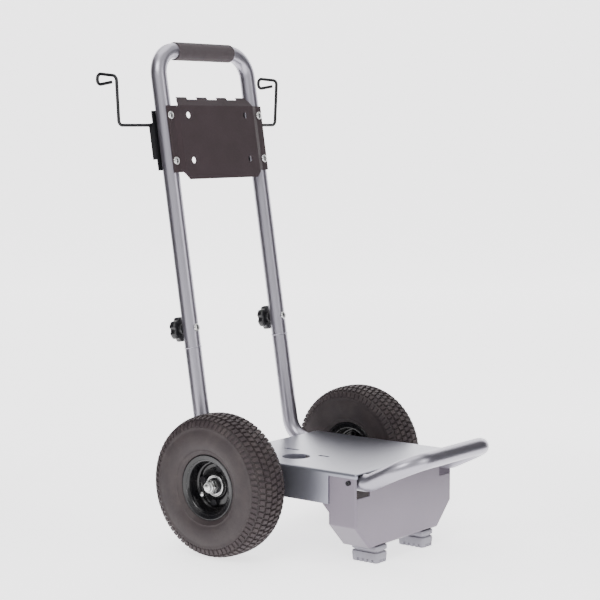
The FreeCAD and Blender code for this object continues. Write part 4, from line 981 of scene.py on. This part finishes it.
@dataclass
class FootPad:
    """A moulded rubber foot: a soft-cornered cap, a narrow neck and a lugged sole."""

    corner: float = 7.0
    groove: float = 3.6
    lugs: int = 4
    lug_height: float = 6.5
    neck: float = 14.0
    cap: float = 13.4

    def _ring(self, half_x: float, half_y: float, height: float, cut: float = 0.0) -> list[Vector]:
        """Points round a rounded rectangle, with its sides cut in by the sole's grooves.

        Args:
            half_x: half the width.
            half_y: half the length.
            height: where the ring lies.
            cut: how deep the grooves go in from the sides.

        Returns:
            The ring's points, the same number for every ring.
        """
        ring = []
        steps, side_steps = 8, 24
        radius = min(self.corner, half_x * 0.6)
        corners = ((1, 1, 0), (-1, 1, 90), (-1, -1, 180), (1, -1, 270))
        for index, (sx, sy, start) in enumerate(corners):
            centre = Vector((sx * (half_x - radius), sy * (half_y - radius), height))
            for i in range(steps + 1):
                angle = math.radians(start + 90 * i / steps)
                ring.append(centre + Vector((math.cos(angle), math.sin(angle), 0)) * radius)
            nx, ny, _ = corners[(index + 1) % 4]
            target = Vector((nx * (half_x - radius), ny * (half_y - radius), height))
            out = Vector((math.cos(math.radians(start + 90)), math.sin(math.radians(start + 90)), 0))
            for i in range(1, side_steps):
                t = i / side_steps
                notch = 1.0 if (t * self.lugs) % 1.0 > 0.66 and 0.08 < t < 0.97 else 0.0
                ring.append(centre.lerp(target, t) + out * (radius - cut * notch))
        return ring

    def build(self, side: str) -> bpy.types.Object:
        """Make one foot inside the CAD foot's box.

        Args:
            side: left or right.

        Returns:
            The foot.
        """
        low, high = (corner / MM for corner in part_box(f"{side}_foot"))
        centre = (low + high) / 2
        half_x, half_y = (high.x - low.x) / 2, (high.y - low.y) / 2
        top = high.z - low.z
        # Inset, height and how far the grooves go in, from the sole up to the cap.
        levels = ((3.2, 0.0, 1.0), (1.6, 0.0, 1.0), (1.0, 0.7, 1.0), (0.7, self.lug_height, 1.0),
                  (0.6, self.lug_height + 0.5, 0.0), (0.0, self.neck, 0.0), (0.4, top - self.cap, 0.0),
                  (1.4, top - 12.5, 0.0), (3.2, top - 12.2, 0.0), (3.4, top - 9.4, 0.0),
                  (1.2, top - 9.0, 0.0), (0.2, top - 8.2, 0.0), (0.0, top - 7.0, 0.0),
                  (0.0, top - 1.2, 0.0), (0.6, top - 0.3, 0.0), (1.6, top, 0.0))
        shape = Shape()
        rings = [self._ring(half_x - inset, half_y - inset, height, cut * self.groove)
                 for inset, height, cut in levels]
        count = len(rings[0])
        faces = [(k * count + i, k * count + (i + 1) % count, (k + 1) * count + (i + 1) % count,
                  (k + 1) * count + i) for k in range(len(rings) - 1) for i in range(count)]
        shape.add([point for ring in rings for point in ring], faces)
        for ring, height in ((rings[0], 0.0), (rings[-1], top)):
            shape.add(ring + [Vector((0, 0, height))], [(i, (i + 1) % count, count) for i in range(count)])
        place = Matrix.Translation(Vector((centre.x, centre.y, low.z)) * MM)
        foot = shape.finish(f"{side}_foot_detail", place, ("grey_rubber",), 42.0)
        return settle(foot, "chassis", (f"{side}_foot",))


@dataclass
class Welds:
    """Short rippled weld beads where the rails meet the deck and the plates meet the flanges."""

    radius: float = 2.2
    length: float = 26.0
    ripple: float = 1.6
    sheet: float = 2.5
    aside: float = 6.6
    first: float = 85.0
    pitch: float = 62.0
    plate_length: float = 30.0

    def _bead(self, shape: Shape, start: Vector, end: Vector) -> None:
        """Lay one rippled bead.

        Args:
            shape: the mesh to add to.
            start: where it starts, in millimetres.
            end: where it ends.
        """
        way = end - start
        count = max(6, int(way.length / (self.ripple * 0.5)))
        matrix = axes(start, way, Vector((0.3, 0.2, 1)))
        profile = []
        for i in range(count + 1):
            t = i / count
            swell = math.sin(math.pi * min(1.0, max(0.0, t))) ** 0.25
            rough = noise.noise(Vector((start.x, t * 9, start.z)))
            wave = 1 + 0.14 * (-1) ** i + 0.08 * rough
            profile.append((max(0.05, self.radius * swell * wave), way.length * t))
        shape.turn(profile, 12, place=matrix)

    def build(self) -> bpy.types.Object:
        """Make every bead.

        Returns:
            The beads as one piece.
        """
        shape = Shape()
        deck_low, deck_high = (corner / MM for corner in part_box("deck_plate"))
        under = deck_high.z - self.sheet
        for side, _ in SIDES:
            low, high = (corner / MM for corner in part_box(f"{side}_frame_tube"))
            centre = (low.x + high.x) / 2
            for edge in (-1, 1):
                for i in range(4):
                    y = deck_low.y + self.first + i * self.pitch
                    spot = Vector((centre + edge * self.aside, y, under - 1.2))
                    self._bead(shape, spot, spot + Vector((0, self.length, 0)))
            plate_low, plate_high = (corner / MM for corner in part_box(f"{side}_axle_bracket"))
            inner = plate_high.x if side == "left" else plate_low.x
            for y in (plate_low.y, plate_high.y):
                wall = plate_low.x if side == "left" else plate_high.x
                spot = Vector(((wall + inner) / 2 + (0.8 if side == "right" else -0.8), y, plate_low.z + 8))
                self._bead(shape, spot, spot + Vector((0, 0, self.plate_length)))
        beads = shape.finish("weld_beads", Matrix.Identity(4), ("painted_weld",), 80.0)
        return settle(beads, "chassis")


class Chassis:
    """Everything that is added to the chassis."""

    def build(self) -> None:
        """Make the chassis's detailed pieces."""
        for side, _ in SIDES:
            FootPad().build(side)
        Welds().build()


# ------------------------------------------------------------------ finishes of the CAD pieces

CAD_FINISHES: dict[str, str] = {
    "left_frame_tube": "silver_powder_coat", "right_frame_tube": "silver_powder_coat",
    "front_handle": "silver_powder_coat", "left_upright": "silver_powder_coat",
    "right_upright": "silver_powder_coat", "handle_loop": "silver_powder_coat",
    "deck_plate": "gloss_enamel", "front_apron": "satin_enamel",
    "left_axle_bracket": "satin_enamel", "right_axle_bracket": "satin_enamel",
    "tool_tray": "wrinkle_enamel", "left_hook": "black_enamel", "right_hook": "black_enamel",
    "left_hook_plate": "black_enamel", "right_hook_plate": "black_enamel",
    "left_hook_block": "moulded_nylon", "right_hook_block": "moulded_nylon",
    "flange_bolts": "black_oxide", "left_rim_nuts": "black_oxide", "right_rim_nuts": "black_oxide",
    "left_inner_tube": "seal_rubber", "right_inner_tube": "seal_rubber",
}


def finish_cad() -> None:
    """Give every CAD piece a procedural finish; the fasteners are zinc plated."""
    for name, node in frame["nodes"].items():
        chosen = material(CAD_FINISHES.get(name, "zinc_plate"))
        node.data.materials.clear()
        node.data.materials.append(chosen)
        log.info("%s has the finish %s", name, chosen.name)


# ------------------------------------------------------------------ studio

@dataclass
class Light:
    """One soft rectangular light."""

    name: str
    place: tuple[float, float, float]
    aim: tuple[float, float, float]
    power: float
    width: float
    height: float
    colour: str = "#FFFFFF"

    def build(self) -> None:
        """Hang the light and point it."""
        data = bpy.data.lights.new(self.name, "AREA")
        data.shape = "RECTANGLE"
        data.size, data.size_y = self.width, self.height
        data.energy = self.power
        data.color = linear(self.colour)[:3]
        lamp = bpy.data.objects.new(self.name, data)
        lamp.location = self.place
        lamp.rotation_euler = (Vector(self.aim) - Vector(self.place)).to_track_quat("-Z", "Y").to_euler()
        bpy.context.scene.collection.objects.link(lamp)


@dataclass
class Studio:
    """A swept paper backdrop, soft lights, dark cards beside the view, and the camera."""

    camera_place: tuple[float, float, float] = (-2.62086, -2.01374, 0.80631)
    yaw: float = -52.03
    pitch: float = -5.853
    lens: float = 103.13
    sky: float = 0.85
    paper_glow: float = 2.1
    paper_near: float = -6.0
    paper_far: float = 5.0
    paper_bend: float = 3.0
    paper_top: float = 9.0
    paper_width: float = 24.0
    flag_spread: float = 0.95
    flag_size: tuple[float, float] = (1.1, 1.5)
    lights: list[Light] = field(default_factory=lambda: [
        Light("key", (-2.2, -0.6, 2.6), (0.0, 0.0, 0.45), 46.0, 1.6, 1.2),
        Light("fill", (0.6, -2.8, 1.5), (0.0, 0.0, 0.4), 24.0, 1.4, 1.6),
        Light("top", (0.2, 0.4, 3.0), (0.0, 0.0, 0.3), 30.0, 2.2, 2.2),
    ])

    def build(self) -> None:
        """Set the scene up."""
        world = bpy.data.worlds.new("sky")
        bpy.context.scene.world = world
        world.use_nodes = True
        world.node_tree.nodes.clear()
        glow = add_node(world.node_tree, "ShaderNodeBackground", None, {
            "Color": linear("#FFFFFF"), "Strength": self.sky})
        add_node(world.node_tree, "ShaderNodeOutputWorld", None, {"Surface": glow.outputs[0]})
        for light in self.lights:
            light.build()
        forward = Matrix.Rotation(math.radians(self.yaw), 4, "Z") @ Vector((0, 1, 0))
        across = Vector((forward.y, -forward.x, 0))
        self._sheet("paper", self._paper(forward, across), "#F6F5F6", self.paper_glow)
        width, height = self.flag_size
        for name, way in (("flag_left", -1), ("flag_right", 1)):
            foot = across * (self.flag_spread * way) + forward * 0.1
            rows = [(foot + forward * (width * end) + Vector((0, 0, low)),
                     foot + forward * (width * end) + Vector((0, 0, low + height)))
                    for end, low in ((-0.5, 0.002), (0.5, 0.002))]
            # A card only shades the metal: other views stand behind it.
            self._sheet(name, rows, "#262428", 0.0).visible_camera = False
        self._camera()

    def _paper(self, forward: Vector, across: Vector) -> list[tuple[Vector, Vector]]:
        """Sweep the backdrop's section: flat floor, a quarter bend, then a wall.

        Args:
            forward: the way the view looks, level.
            across: level and square to it.

        Returns:
            The sheet's two edges, as pairs of points from near to far.
        """
        section = [(self.paper_near, 0.0)]
        steps = 24
        for i in range(steps + 1):
            turn = math.pi / 2 * i / steps
            section.append((self.paper_far + self.paper_bend * math.sin(turn),
                            self.paper_bend * (1 - math.cos(turn))))
        section.append((self.paper_far + self.paper_bend, self.paper_top))
        half = across * (self.paper_width / 2)
        return [(forward * run + Vector((0, 0, rise)) - half, forward * run + Vector((0, 0, rise)) + half)
                for run, rise in section]

    def _sheet(self, name: str, rows: Sequence[tuple[Vector, Vector]], colour: str,
               glow: float) -> bpy.types.Object:
        """Hang a sheet of card or paper that is not part of the object.

        Args:
            name: the sheet's name.
            rows: pairs of points across it, from one end to the other.
            colour: its sRGB colour.
            glow: light of its own, as an even backlight would give it.

        Returns:
            The sheet.
        """
        points = [point for row in rows for point in row]
        faces = [(2 * i, 2 * i + 1, 2 * i + 3, 2 * i + 2) for i in range(len(rows) - 1)]
        data = bpy.data.meshes.new(name)
        data.from_pydata(points, [], faces)
        data.polygons.foreach_set("use_smooth", [True] * len(faces))
        paint = bpy.data.materials.new(name)
        paint.use_nodes = True
        paint.node_tree.nodes.clear()
        shader = add_node(paint.node_tree, "ShaderNodeBsdfPrincipled", None, {
            "Base Color": linear(colour), "Roughness": 0.9, "Specular IOR Level": 0.1,
            "Emission Color": linear(colour), "Emission Strength": glow})
        add_node(paint.node_tree, "ShaderNodeOutputMaterial", None, {"Surface": shader.outputs[0]})
        data.materials.append(paint)
        sheet = bpy.data.objects.new(name, data)
        bpy.context.scene.collection.objects.link(sheet)
        return sheet

    def _camera(self) -> None:
        """Place the camera."""
        data = bpy.data.cameras.new("camera")
        data.sensor_width = 36.0
        data.lens = self.lens
        data.clip_end = 100.0
        camera = bpy.data.objects.new("camera", data)
        camera.location = self.camera_place
        camera.rotation_euler = (math.radians(90 + self.pitch), 0.0, math.radians(self.yaw))
        bpy.context.scene.collection.objects.link(camera)
        bpy.context.scene.camera = camera


def main() -> None:
    """Build every visual piece and report each one."""
    finish_cad()
    for part in (Studio(), Wheels(), Handle(), Chassis()):
        log.info("building %s", type(part).__name__)
        part.build()


if __name__ == "__main__":
    logging.basicConfig(level=logging.INFO, format="%(name)s: %(message)s")
    main()
